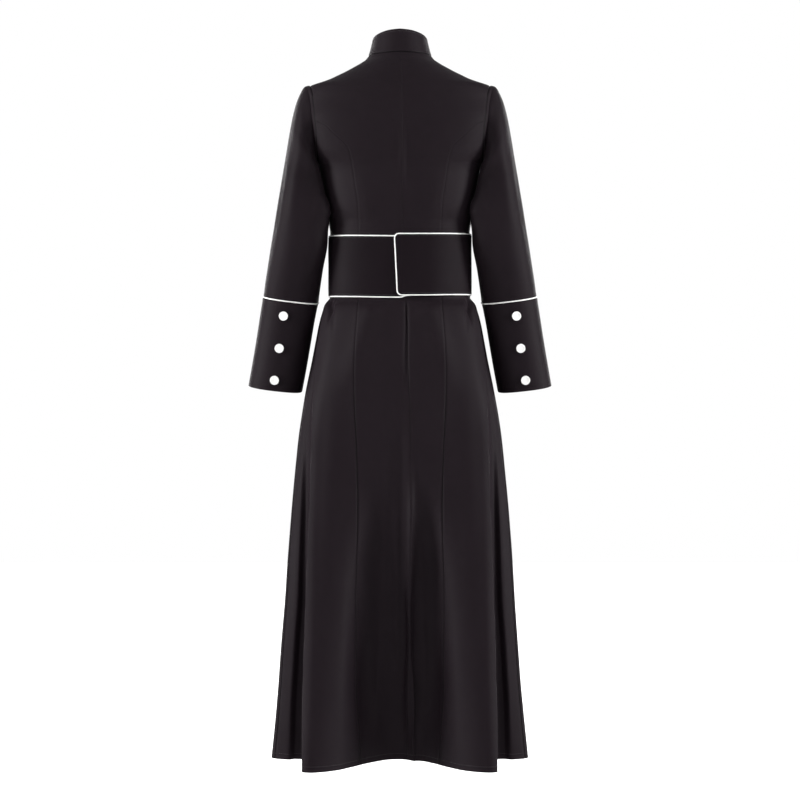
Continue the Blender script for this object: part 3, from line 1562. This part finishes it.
@dataclass
class Body(GarmentPart):
    """Six panels between shoulder, princess, side and centre back seams, open down the front under a lap.

    Attributes:
        spacing: distance between points of the cloth.
        gap: what is left open at a seam. Below zero, it is how far the panels overlap.
        crest_width: of the denser points at a pleat's crest.
        steps: across a back, a side back and a front panel.
        hem_depth: height of the hem's stitches.
        front_depth: distance of the front's stitches from its edge, in s.
        stitch_out: how far the stitches lie off the cloth's middle.
    """

    spacing: float = 0.0048
    gap: float = -0.00008
    crest_width: float = 0.012
    steps: tuple[int, int, int] = (40, 110, 104)
    hem_depth: float = 0.011
    front_depth: float = 0.016
    stitch_out: float = 0.0007
    made_creases: list[tuple[Crease, Array]] = field(init=False)
    heights: Array = field(init=False)
    quarters: Array = field(init=False)

    def __post_init__(self) -> None:
        """Works out the lines of the creases and the lengths of the sections."""
        self.made_creases = self.creases()
        self.heights = np.linspace(0.0, HEM - 0.004, 40)
        self.quarters = self.form.quarter_length(self.heights, True)

    def levels(self) -> Array:
        """Heights of the rows, closer together at the shoulders, seams and hem.

        Returns:
            The heights, from the neck down.
        """
        top = np.linspace(0.0, SHOULDER_TIP, 27)
        tip = np.array([-0.0602, -0.0606, -0.0613, -0.0623, -0.0640])
        arm = np.concatenate([
            np.linspace(-0.0665, PRINCESS_TOP + 0.002, 19),
            PRINCESS_TOP - np.array([0.0, 0.0007, 0.0016, 0.0028]),
            np.linspace(PRINCESS_TOP - 0.0045, UNDERARM + 0.003, 20),
        ])
        under = np.array([-0.2184, -0.2193, -0.2200])
        rest = np.arange(UNDERARM - 0.004, HEM + 0.006, -self.spacing)
        hem = HEM + np.array([0.0040, 0.0022, 0.0012, 0.0006, 0.0003, 0.0])
        return np.concatenate([top, tip, arm, under, rest, hem])

    def columns(self, low: Array, high: Array, width: Array, count: int, levels: Array) -> Array:
        """Shares across a panel at each level, closer together near its seams and the crests of pleats.

        Args:
            low: s of its inner seam at each level.
            high: s of its outer seam at each level.
            width: the panel's width at each level.
            count: steps across its middle.
            levels: the heights.

        Returns:
            Shares, (levels, columns).
        """
        near = np.array([0.0, 0.0004, 0.0010, 0.0019, 0.0032])
        small = np.minimum(1.0, width / (4 * near[-1]))
        first = near[None, :] * (small / np.maximum(width, 1e-6))[:, None]
        trial = np.linspace(0, 1, 401)
        density = np.ones((len(levels), len(trial)))
        for pleat in PLEATS:
            place = (column(pleat.crest, 1, levels) - low) / (high - low)
            away = (trial[None, :] - place[:, None]) * width[:, None]
            density += 3.0 * np.exp(-((away / self.crest_width) ** 2))
        total = np.cumsum(density, axis=1) - density[:, :1]
        total = total / total[:, -1:]
        even = np.linspace(0, 1, count)[1:-1]
        inner = np.array([np.interp(even, row, trial) for row in total])
        middle = first[:, -1:] + (1 - 2 * first[:, -1:]) * inner
        return np.concatenate([first, middle, 1 - first[:, ::-1]], axis=1)

    def creases(self) -> list[tuple[Crease, Array]]:
        """Every soft crease with its line in space.

        Returns:
            Those in pairs on the left and the right, then those on their own.
        """
        found = []
        for crease in PAIRED_CREASES + SINGLE_CREASES:
            found.append((crease, crease.path(self.form.point)))
            if crease in PAIRED_CREASES:
                found.append((crease, crease.path(lambda s, z: self.form.point(4 - s, z))))
        return found

    def relief(self, s: Array, points: Array) -> Array:
        """How far the cloth's pleats, creases and slight unevenness move it outward.

        Args:
            s: places round the body.
            points: points of the cloth there.

        Returns:
            One distance for each point.
        """
        z = points[..., 2]
        skirt = ease((-0.50 - z) / 0.25)
        slow = SoftNoise((0.060, 0.060, 0.24), 11).at(points)
        quick = SoftNoise((0.022, 0.022, 0.060), 12).at(points)
        away = slow * (0.0005 + 0.0009 * skirt) + quick * (0.00015 + 0.00015 * skirt)
        quarter = curve(self.heights, self.quarters, z)
        for pleat in PLEATS:
            away += pleat.lift(half_of(s), z, quarter)
        stiff = 1 - 0.55 * ease((-1.24 - z) / 0.14)
        for crease, path in self.made_creases:
            away += crease.lift(points, path) * stiff
        return away

    def line(self, s: Array, z: Array, out: Array) -> Array:
        """Points at s and z, so far off the middle of the body's cloth with its relief."""
        middle = self.form.point(s, z)
        return middle + self.form.normal(s, z) * (self.relief(s, middle) + out)[..., None]

    @staticmethod
    def seam_depths(levels: Array) -> dict[str, tuple[Optional[Array], Optional[Array]]]:
        """How deep the panels' seams are drawn in.

        Args:
            levels: heights of the rows.

        Returns:
            By the first word of a panel's name, shares along its inner and its outer seam, or None for all.
        """
        skirt = ease((BELT_LEVEL - levels) / 0.02)
        princess = 0.28 + 0.27 * skirt + 0.40 * ease((-0.60 - levels) / 0.14)
        princess = np.where(levels > PRINCESS_TOP, 0.45, princess)
        middle = 0.30 + 0.70 * np.where(levels > BELT_LEVEL, 0.2, 1.0) * ease((levels + 0.84) / 0.14)
        middle = middle * (0.3 + 0.7 * ease((-0.09 - levels) / 0.05))
        middle = middle * (1 - 0.4 * between(levels, -0.47, -0.80, 0.02, 0.10))
        return {"back": (middle, princess), "side": (princess, None), "front": (None, None)}

    def panel(
        self, name: str, levels: Array, low: Array, high: Array, count: int, mirror: bool,
        lift: Optional[Callable[[Array], Array]] = None, end: Edge = Edge.SEAM,
    ) -> Piece:
        """Makes and dresses one panel of the body.

        Args:
            name: its solid's name.
            levels: heights of its rows.
            low: s of its inner seam at each level.
            high: s of its outer seam at each level.
            count: steps across it.
            mirror: True on the right.
            lift: how far it stands out, by s.
            end: how its last column ends.

        Returns:
            The piece.
        """
        back = float(high.mean()) < 1.5
        width = np.abs(high - low) * self.form.quarter_length(levels, back)
        s = low[:, None] + (high - low)[:, None] * self.columns(low, high, width, count, levels)
        s = 4 - s if mirror else s
        z = np.repeat(levels[:, None], s.shape[1], axis=1)
        z = z + neck_level(s) * (1 - ease(-z / 0.11))
        middle = self.line(s, z, lift(s) if lift else 0.0)
        first, last = self.seam_depths(levels)[name.split("_")[0]]
        return self.lay(name, ClothShell(name + "_cloth", middle, end=end, start_depth=first, end_depth=last))

    def build(self) -> list[Piece]:
        """Makes all six panels and the sewing along them.

        Returns:
            The pieces.
        """
        levels = self.levels()
        made = []
        step = self.gap / 2 / self.form.quarter_length(levels, True)
        outer = self.form.arm_place(levels, True) - step
        seam = self.form.place_of(column(PRINCESS, 1, levels), levels, 0.0, 1.0)
        high = np.where(levels < PRINCESS_TOP, np.minimum(seam - step, outer), outer)
        inner = np.minimum(seam + step, outer - 0.003)
        keep = levels <= PRINCESS_TOP + 1e-6
        for side in Side:
            mirror = side is Side.RIGHT
            centre = step + self.form.back_seam(levels) * side.sign
            back = self.panel("back_" + side.value, levels, centre, high, self.steps[0], mirror)
            places = levels[keep], inner[keep], outer[keep]
            part = self.panel("side_back_" + side.value, *places, self.steps[1], mirror)
            declare(back)
            declare(part)
            made += [back, part]
        low = self.form.arm_place(levels, False) + self.gap / 2 / self.form.quarter_length(levels, False)
        end = np.full(len(levels), 2 + LAP)
        for side in Side:
            mirror = side is Side.RIGHT
            places, lift = (levels, low, end), front_lift if mirror else None
            front = self.panel("front_" + side.value, *places, self.steps[2], mirror, lift, Edge.FOLD)
            declare(front)
            made.append(front)
        return [*made, self.sew()]

    def sew(self) -> Piece:
        """Makes the stitches along the hem and the front edge.

        Returns:
            Them, as one piece.
        """
        around = np.mod(np.linspace(2 + LAP, 6 - LAP, 900), 4)
        hem = self.line(around, np.full(len(around), HEM + self.hem_depth), self.stitch_out)
        heights = np.arange(-0.045, HEM + 0.012, -0.004)
        beside = np.full(len(heights), 4 - (2 + LAP - self.front_depth))
        front = self.line(beside, heights, self.stitch_out + LAP_LIFT)
        return self.stitch("hem_and_front_stitches", [hem, front], pitch=0.0042, length=0.0030)


@dataclass
class Collar(GarmentPart):
    """The stand collar, open at the centre front, with a row of stitches along its lower and its upper edge.

    Attributes:
        thickness: its two layers and what stiffens them.
        draw_in: how much narrower it is at its top.
        lean: how far forward its top stands.
        opening: half its opening in front, in s.
        stitch_rows: heights of the rows of stitches, as shares of its own.
        stitch_out: how far they lie off its outside.
    """

    thickness: float = 0.0026
    draw_in: float = 0.145
    lean: float = 0.003
    opening: float = 0.03
    stitch_rows: tuple[float, float] = (0.10, 0.90)
    stitch_out: float = 0.0001

    def grid(self, s: Array, shares: Sequence[float]) -> Array:
        """Middle of the collar's cloth.

        Args:
            s: places round the neck.
            shares: of its height, rising.

        Returns:
            Points, (shares, places, 3), the highest row first.
        """
        base_z = neck_level(s)
        base = self.form.point(s, base_z)
        top_z = column(COLLAR_TOP, 1, half_of(s))
        rows = []
        for share in shares:
            ring = base.copy()
            ring[:, :2] *= 1 - self.draw_in * share**0.9
            ring[:, 1] -= self.lean * share
            ring[:, 2] = base_z + (top_z - base_z) * share
            rows.append(ring)
        return np.array(rows[::-1])

    def build(self) -> list[Piece]:
        """Makes the collar and its stitches.

        Returns:
            The pieces.
        """
        right, left = np.linspace(2 + self.opening, 4, 120), np.linspace(0, 2 - self.opening, 120)
        s = np.concatenate([right, left[1:]])
        shares = np.concatenate([[0.0, 0.02, 0.06], np.linspace(0.12, 0.92, 9), [0.955, 0.98, 0.993, 1.0]])
        middle = self.grid(s, shares)
        shell = ClothShell("collar_cloth", middle, self.thickness, Edge.FOLD, Edge.SEAM, Edge.FOLD, Edge.FOLD)
        collar = self.lay("collar", shell)
        declare(collar)
        rows = []
        for share in self.stitch_rows:
            ring = self.grid(s, [share])[0]
            ring = ring + unit(ring * LEVEL_PLANE) * (self.thickness / 2 + self.stitch_out)
            rows.append(even_steps(ring, 260)[3:-3])
        return [collar, self.stitch("collar_stitches", rows)]


@dataclass
class Sleeves(GarmentPart):
    """Set-in sleeves and separate cuffs: cloth, piping in the cuff seams, and buttons.

    Attributes:
        half: steps round half a sleeve.
        underarm: the armhole's lowest point.
        piping_radius: of the cord in the cuff seam.
        piping_out: how far the cord's middle lies off the cloth's.
        roll_height: how far the roll at the sleeve's head stands out.
        roll_place: how far from the armhole it is.
        roll_width: half its width.
    """

    half: int = 56
    underarm: Triple = (0.160, 0.0, UNDERARM)
    piping_radius: float = 0.0013
    piping_out: float = 0.0012
    roll_height: float = 0.0020
    roll_place: float = 0.011
    roll_width: float = 0.008

    def armhole(self) -> Array:
        """The armhole's edge.

        Returns:
            A ring: shoulder tip, back, underarm, front.
        """
        levels = np.concatenate([
            SHOULDER_TIP - 0.0008 * np.linspace(0, 1, 12) ** 2 * 4,
            np.linspace(-0.063, -0.2, 60),
            UNDERARM + 0.02 * (1 - np.linspace(0, 1, 24)) ** 2,
        ])
        levels = np.unique(levels)[::-1]
        lines = []
        for is_back in (True, False):
            place = self.form.arm_place(levels, is_back)
            points = self.form.point(place, levels)
            points[-1] = self.underarm
            outward = self.form.normal(place, levels)
            points[:, 0] += np.abs(outward[:, 0]) * 0.0008 + 0.0006
            lines.append(points)
        first = even_steps(lines[0], self.half + 1)
        second = even_steps(lines[1][::-1], self.half + 1)
        return np.concatenate([first[:-1], second[:-1]])

    @staticmethod
    def _flatness(row: Array) -> float:
        """How flat the back of a ring lies, as a share of its depth."""
        return float(1 - 0.22 * between(row[1], -0.135, -0.44, 0.09, 0.14))

    @staticmethod
    def _row(table: Array, step: float) -> Array:
        """A row of a table of rings.

        Args:
            table: the table.
            step: the row's number, which may lie between two rows or past an end.

        Returns:
            The row.
        """
        row = np.array([curve(range(len(table)), table[:, i], np.array(step)) for i in range(table.shape[1])])
        last = len(table) - 1
        if step < 0:
            row += (table[1] - table[0]) * step
        elif step > last:
            row += (table[-1] - table[-2]) * (step - last)
        return row

    def _plain_ring(self, row: Array) -> Array:
        """A ring before it is tilted: two half superellipses, the back one flatter.

        Args:
            row: its row of the table.

        Returns:
            Its points, evenly spaced.
        """
        outer, inner = np.array([row[0], 0.0, row[1]]), np.array([row[2], 0.0, row[3]])
        centre, reach = (outer + inner) / 2, (outer - inner) / 2
        angle = np.linspace(0, math.pi, 400)
        loop = []
        for sign in (1, -1):
            power = 2 / np.where((angle > math.pi / 2) & (sign > 0), 3.0, 2.2)
            a = np.sign(np.cos(angle)) * np.abs(np.cos(angle)) ** power
            b = np.abs(np.sin(angle)) ** power * (self._flatness(row) if sign > 0 else 1.0)
            points = centre + a[:, None] * reach + (sign * b * row[5])[:, None] * np.array([0, 1, 0])
            points = points if sign > 0 else points[::-1]
            loop.append(even_steps(points, self.half + 1)[:-1])
        return np.concatenate(loop)

    @staticmethod
    def _place(ring: Array, row: Array) -> Array:
        """A ring tilted and moved as its row says."""
        x, y, z = ring.T
        return np.stack([x, y + row[4], z - row[6] * y], axis=-1)

    def sleeve_grid(self, steps: Array) -> Array:
        """Rings of the sleeve, which goes over from the armhole's own form to even rings.

        Args:
            steps: from 0, the armhole, to 13, the cuff seam.

        Returns:
            Points, (steps, places round it, 3).
        """
        hole = self.armhole()
        outer, inner = hole[0], hole[self.half]
        centre, reach = (outer + inner) / 2, (outer - inner) / 2
        a = ((hole - centre) * reach).sum(-1) / (reach * reach).sum()
        rest = hole - centre - a[:, None] * reach
        sideways = rest * np.array([0, 1, 0])
        depth = np.abs(sideways[:, 1]).max()
        table = np.array([(outer[0], outer[2], inner[0], inner[2], 0.0, depth, 0.0), *SLEEVE])
        rings = []
        for step in steps:
            row = self._row(table, step)
            top, low = np.array([row[0], 0.0, row[1]]), np.array([row[2], 0.0, row[3]])
            flat = np.where(sideways[:, 1:2] > 0, self._flatness(row), 1.0) * sideways * row[5] / depth
            shaped = (top + low) / 2 + a[:, None] * (top - low) / 2 + flat + rest - sideways
            blend = ease(np.array(step / 7))
            rings.append(self._place((1 - blend) * shaped + blend * self._plain_ring(row), row))
        return np.array(rings)

    def cuff_grid(self, steps: Array) -> Array:
        """Rings of the cuff at steps from 0, its seam, to 4, its edge."""
        rows = [self._row(np.array(CUFF), step) for step in steps]
        return np.array([self._place(self._plain_ring(row), row) for row in rows])

    def relief(self, points: Array, run: Array) -> Array:
        """How far the roll at the sleeve's head, its creases and its slight unevenness move it outward.

        Args:
            points: the sleeve's cloth, rings first.
            run: length from the armhole down each line of points.

        Returns:
            One distance for each point.
        """
        rings, places = points.shape[:2]
        slow = SoftNoise((0.050, 0.050, 0.110), 21).at(points)
        quick = SoftNoise((0.020, 0.020, 0.045), 22).at(points)
        away = slow * 0.0009 + quick * 0.0002
        around = np.abs(np.linspace(-1, 1, places, endpoint=False))[None, :]
        upper = ease((around - 0.30) / 0.35)
        roll = np.exp(-(((run - self.roll_place) / self.roll_width) ** 2))
        away += self.roll_height * upper * roll * ease(run / 0.004)

        def nearest(ring: Array, row: Array) -> Array:
            """Points of the sleeve nearest to shares round it and along it."""
            i = np.clip((row * (rings - 1)).astype(int), 0, rings - 1)
            return points[i, (ring * places).astype(int) % places]

        for crease in SLEEVE_CREASES:
            away += crease.lift(points, crease.path(nearest))
        return away * ease((run[-1:] - run) / 0.02)

    def build(self) -> list[Piece]:
        """Makes both sleeves and both cuffs.

        Returns:
            The pieces.
        """
        steps = np.concatenate([[0.0, 0.04, 0.10, 0.2], np.linspace(0.35, 12.90, 96), [12.96, 13.0, 13.03]])
        sleeve = self.sleeve_grid(steps)
        tucked = sleeve[0] * np.array([1.0, 0.97, 1.0]) + np.array([-0.006, 0.0, 0.0])
        sleeve = np.concatenate([tucked[None], sleeve])
        run = np.concatenate([np.zeros((1, sleeve.shape[1])), run_of(sleeve[1:], 0)])
        near_seam, near_edge = [-0.040, -0.02, 0.0, 0.03, 0.08], [3.965, 3.985, 3.995, 4.0]
        cuff = self.cuff_grid(np.concatenate([near_seam, np.linspace(0.16, 3.92, 38), near_edge]))
        seam = (sleeve[-1] + cuff[0]) / 2
        relief = self.relief(sleeve, run)[..., None]
        made = []
        for side in Side:
            flip = np.array([side.sign, 1, 1])
            name = side.value
            shell = ClothShell(
                "sleeve_%s_cloth" % name, sleeve * flip, bottom=Edge.SEAM, tube=True, tucked=True
            )
            shell.middle = shell.middle + shell.normals() * relief
            arm = self.lay("sleeve_" + name, shell)
            declare(arm)
            cloth = ClothShell("cuff_%s_cloth" % name, cuff * flip, tube=True)
            around = cloth.normals()
            band = self.lay("cuff_" + name, cloth)
            declare(band)
            path = seam * flip + unit(around[0]) * self.piping_out
            cord = self.pipe("cuff_piping_" + name, path, True, self.piping_radius)
            made += [arm, band, cord, *self._buttons(side, cuff, around * flip)]
        return made

    def _buttons(self, side: Side, cuff: Array, outward: Array) -> list[Piece]:
        """Makes the buttons on one cuff, where their table puts them.

        Args:
            side: the cuff's side.
            cuff: the left cuff's cloth.
            outward: directions out of it.

        Returns:
            The buttons.
        """
        flip = np.array([side.sign, 1, 1])
        facing_back = outward[..., 1] > 0.3
        made = []
        for number, (x, z) in enumerate(CUFF_BUTTONS, 1):
            miss = np.hypot(cuff[..., 0] - x, cuff[..., 2] - z) + np.where(facing_back, 0, PAST_ALL)
            spot = np.unravel_index(np.argmin(miss), miss.shape)
            place = np.array([x, cuff[spot][1], z])
            name = "cuff_button_%s_%d" % (side.value, number)
            made.append(Button(name, place * flip, outward[spot] * flip, self.finishes).build())
        return made


@dataclass
class Button:
    """A round white button, its rim raised round a shallow dish, held just off the cloth.

    Attributes:
        name: its solid's name.
        place: the cloth's middle under it.
        facing: the way it faces.
        finishes: the materials.
        radius: of its rim.
        thickness: from its back to its rim.
        off: how far its back stands off the cloth's middle.
        sides: steps round it.
    """

    name: str
    place: Array
    facing: Array
    finishes: Finishes
    radius: float = 0.0091
    thickness: float = 0.0032
    off: float = 0.0014
    sides: int = 64

    def profile(self) -> list[tuple[float, float]]:
        """The line that the button is turned from.

        Returns:
            Shares of its radius and of its thickness, from the middle of its back round to that of its dish.
        """
        line = [(0.25, 0.01), (0.55, 0.0), (0.84, 0.02)]
        line += [(0.86 + 0.14 * math.sin(t), 0.42 - 0.42 * math.cos(t)) for t in np.linspace(0.3, 1.57, 6)]
        line += [(0.88 + 0.12 * math.cos(t), 0.70 + 0.28 * math.sin(t)) for t in np.linspace(0.1, 1.57, 7)]
        return line + [(0.80, 0.955), (0.74, 0.885), (0.66, 0.835), (0.50, 0.80), (0.25, 0.785)]

    def build(self) -> Piece:
        """Turns the button from its profile and dresses it.

        Returns:
            The piece.
        """
        profile = self.profile()
        across = unit(np.cross(np.array([0.0, 0.0, 1.0]), self.facing))
        up = np.cross(self.facing, across)
        base = self.place + self.facing * self.off
        angle = np.arange(self.sides) * 2 * math.pi / self.sides
        spokes = across[None] * np.cos(angle)[:, None] + up[None] * np.sin(angle)[:, None]
        rise = self.facing * self.thickness
        rings = np.array([base + spokes * r * self.radius + rise * h for r, h in profile])
        poles = [base + rise * h for h in (0.02, 0.78)]
        points = np.concatenate([rings.reshape(-1, 3), poles])
        index = np.arange(len(profile) * self.sides).reshape(len(profile), self.sides)
        index = np.concatenate([index, index[:, :1]], axis=1)
        pole = np.full(self.sides // 2, len(points) - 2)
        first, last = index[0], index[-1]
        faces = np.concatenate([
            *(quads_between(lower, upper) for lower, upper in zip(index[:-1], index[1:])),
            np.stack([pole, first[2::2], first[1::2], first[:-1:2]], axis=-1),
            np.stack([pole + 1, last[:-1:2], last[1::2], last[2::2]], axis=-1),
        ])
        radii = np.append(np.repeat([r for r, _ in profile], self.sides), (0.0, 0.0))
        edge = np.clip((radii - 0.8) / 0.15, 0, 1)
        piece = add_mesh(self.name + "_face", points, faces, masks={"edge": edge})
        return settle(piece, self.finishes.button, [self.name])


@dataclass
class Belt(GarmentPart):
    """The wide belt with piping on its edges and its upper end.

    Attributes:
        height: of the belt.
        thickness: its layers together.
        out: how far its middle stands off the body's.
        corner: radius of its corners.
        slant: how far its upper end slants, in s.
        spare: what is left between its two layers where it passes over itself.
        sag: how uneven its face is.
        piping_radius: of the cord.
        piping_gap: between its edge and the cord.
        inset: distance of the stitches from its edges.
        lift: how far they lie off its outside.
    """

    height: float = 0.1170
    thickness: float = 0.0030
    out: float = 0.0033
    corner: float = 0.0070
    slant: float = 0.03
    spare: float = 0.0005
    sag: float = 0.0006
    piping_radius: float = 0.0013
    piping_gap: float = 0.0002
    inset: float = 0.0028
    lift: float = 0.0001

    def point(self, t: Array, across: Array) -> tuple[Array, Array]:
        """Middle of the belt's cloth.

        Args:
            t: places along it.
            across: distances above its middle line.

        Returns:
            The points and the directions out of them.
        """
        t, across = np.broadcast_arrays(np.asarray(t, float), np.asarray(across, float))
        s = column(BELT_RUN, 1, t) + self.slant * ease(1 - t / 0.4) * across / self.height
        level = np.full(s.shape, BELT_LEVEL)
        outward = unit(self.form.normal(s, level) * LEVEL_PLANE)
        over = 1 - ease((t - 0.30) / 0.25)
        away = self.out + belt_lift(s) + (self.thickness + self.spare) * over
        point = self.form.point(s, level) + outward * away[..., None]
        point[..., 2] = column(BELT_RUN, 2, t) + across
        return point, outward

    def edge_path(self, run: Array, unit_length: float) -> Array:
        """The line of the piping: along the upper edge, round the upper end and back along the lower edge.

        Args:
            run: places along the belt's straight edges.
            unit_length: the length of one unit of those places.

        Returns:
            Points along it.
        """
        away = self.piping_gap + self.piping_radius
        half = self.height / 2
        turn = np.linspace(0, math.pi / 2, 9)
        corner_t = (self.corner - (self.corner + away) * np.sin(turn)) / unit_length
        corner_a = half - self.corner + (self.corner + away) * np.cos(turn)
        end = np.linspace(half - self.corner, -half + self.corner, 30)[1:-1]
        path_t = [run[::-1], corner_t, np.full(len(end), -away / unit_length), corner_t[::-1], run]
        straight = np.full(len(run), half + away)
        path_a = [straight, corner_a, end, -corner_a[::-1], -straight]
        return self.point(np.concatenate(path_t), np.concatenate(path_a))[0]

    def build(self) -> list[Piece]:
        """Makes the belt, its piping and its stitches.

        Returns:
            The pieces.
        """
        unit_length = float(np.linalg.norm(self.point(0.1, 0.0)[0] - self.point(0.0, 0.0)[0])) / 0.1
        last, half = BELT_RUN[-1][0], self.height / 2
        first, final = [0, 0.001, 0.003, 0.006], [last - 0.002, last]
        t = np.concatenate([first, np.linspace(0.012, last - 0.004, 250), final])
        edge = half - np.array([0, 0.0002, 0.0006, 0.0012, 0.0022, 0.0040, self.corner])
        across = np.concatenate([-edge, np.linspace(-edge[-1], edge[-1], 26)[1:-1], edge[::-1]])
        past = np.clip(np.abs(across) - (half - self.corner), 0, self.corner)
        start = (self.corner - np.sqrt(self.corner**2 - past**2)) / unit_length
        grid_t = start[:, None] + (1 - start[:, None] / last) * t[None, :]
        middle, outward = self.point(grid_t, across[:, None])
        inside = 1 - ease((np.abs(across) - half + 0.02) / 0.02)
        sag = SoftNoise((0.045, 0.045, 0.030), 31).at(middle) * self.sag * inside[:, None]
        middle = middle + outward * sag[..., None]
        shell = ClothShell("belt_cloth", middle[::-1], self.thickness, *([Edge.FOLD] * 4))
        band = settle(shell.build(), self.finishes.belting, ["belt"])
        run = t[t > self.corner / unit_length + 0.004]
        cord = self.pipe("belt_piping", self.edge_path(run, unit_length), False, self.piping_radius)
        declare(band)
        rows = []
        for sign in (1, -1):
            line, out = self.point(run, sign * (half - self.inset))
            rows.append(line + out * (self.thickness / 2 + self.lift))
        return [band, cord, self.stitch("belt_stitches", rows)]


@dataclass(frozen=True)
class SoftBox:
    """A rectangular lamp turned towards the garment: its name, place, width and height, and power."""

    name: str
    place: Triple
    size: tuple[float, float]
    power: float
    target: Triple = (0.0, 0.0, -0.70)

    def build(self) -> None:
        """Puts the lamp up."""
        lamp = bpy.data.lights.new(self.name, "AREA")
        lamp.shape = "RECTANGLE"
        lamp.size, lamp.size_y = self.size
        lamp.energy = self.power
        holder = link(self.name, lamp)
        holder.location = self.place
        x, y, z = np.array(self.target) - np.array(self.place)
        holder.rotation_euler = (math.pi / 2 + math.atan2(z, math.hypot(x, y)), 0.0, math.atan2(-x, y))


SIDE_BOX, FRONT_BOX, FAR_BOX = (1.1, 3.4), (1.2, 2.2), (1.4, 2.6)
LIGHTS = (
    SoftBox("key", (4.62, 0.95, 0.2), SIDE_BOX, 330.0),
    SoftBox("fill", (-4.62, 0.95, 0.2), SIDE_BOX, 314.0),
    SoftBox("front_key", (3.4, 3.1, 2.0), FRONT_BOX, 68.0),
    SoftBox("front_fill", (-3.4, 3.1, 2.0), FRONT_BOX, 60.0),
    SoftBox("front", (0.0, 4.9, 1.0), (2.2, 1.4), 24.0),
    SoftBox("far_key", (2.6, -4.0, 0.6), FAR_BOX, 95.0),
    SoftBox("far_fill", (-2.6, -4.0, 0.6), FAR_BOX, 80.0),
)


@dataclass
class Studio:
    """A pale floor, soft light and the camera.

    Attributes:
        finishes: the materials.
        distance: from the camera to the garment's middle.
        level: the camera's height.
        lens: its focal length, in millimetres.
        floor: the floor's height.
        reach: half the floor's side.
        ambient: strength of the light from all round.
        overhead: what is added to it from above.
    """

    finishes: Finishes
    distance: float = 4.0
    level: float = -0.686
    lens: float = 90.0
    floor: float = HEM - 0.10
    reach: float = 6.0
    ambient: float = 0.14
    overhead: float = 0.62

    def build(self) -> None:
        """Sets up the floor, the world, the lamps and the camera."""
        scene = bpy.context.scene
        scene.view_settings.view_transform = "Standard"
        scene.world = self._world()
        self._floor()
        for box in LIGHTS:
            box.build()
        camera = bpy.data.cameras.new("camera")
        camera.lens, camera.sensor_width = self.lens, 36.0
        camera.clip_end = 50.0
        holder = link("camera", camera)
        holder.location = (0.0, self.distance, self.level)
        holder.rotation_euler = (math.pi / 2, 0.0, math.pi)
        scene.camera = holder

    def _world(self) -> bpy.types.World:
        """Makes a world that the camera sees white and that lights the garment softly, most from above.

        Returns:
            The world.
        """
        world = bpy.data.worlds.new("studio")
        world.use_nodes = True
        graph = Graph(world.node_tree)
        direction = graph.node("ShaderNodeSeparateXYZ")
        graph.put(graph.node("ShaderNodeTexCoord").outputs["Generated"], direction.inputs[0])
        above = graph.ramp(direction.outputs[2], 0.45, 0.85)
        strength = graph.node("ShaderNodeMix", data_type="FLOAT")
        graph.put(graph.node("ShaderNodeLightPath").outputs["Is Camera Ray"], strength.inputs[0])
        graph.put(graph.maths("MULTIPLY_ADD", above, self.overhead, self.ambient), strength.inputs[2])
        graph.put(1.0, strength.inputs[3])
        background = world.node_tree.nodes["Background"]
        graph.feed(background, Color=(1.0, 1.0, 1.0, 1.0), Strength=strength.outputs[0])
        return world

    def _floor(self) -> None:
        """Lays a square of floor under the garment."""
        corners = [(-1, -1), (1, -1), (1, 1), (-1, 1)]
        mesh = bpy.data.meshes.new("floor")
        points = [(x * self.reach, y * self.reach, self.floor) for x, y in corners]
        mesh.from_pydata(points, [], [(0, 1, 2, 3)])
        mesh.materials.append(self.finishes.floor)
        link("floor", mesh)


def main() -> None:
    """Builds the garment and the studio."""
    logging.basicConfig(level=logging.INFO, format="%(name)s %(message)s", force=True)
    form = BodyForm()
    finishes = Finishes()
    paths = PathMaker()
    for kind in (Collar, Body, Sleeves, Belt):
        for piece in kind(form, finishes, paths).build():
            LOG.info("%s: %d faces", piece.name, len(piece.data.polygons))
    Studio(finishes).build()


if __name__ == "__main__":
    main()
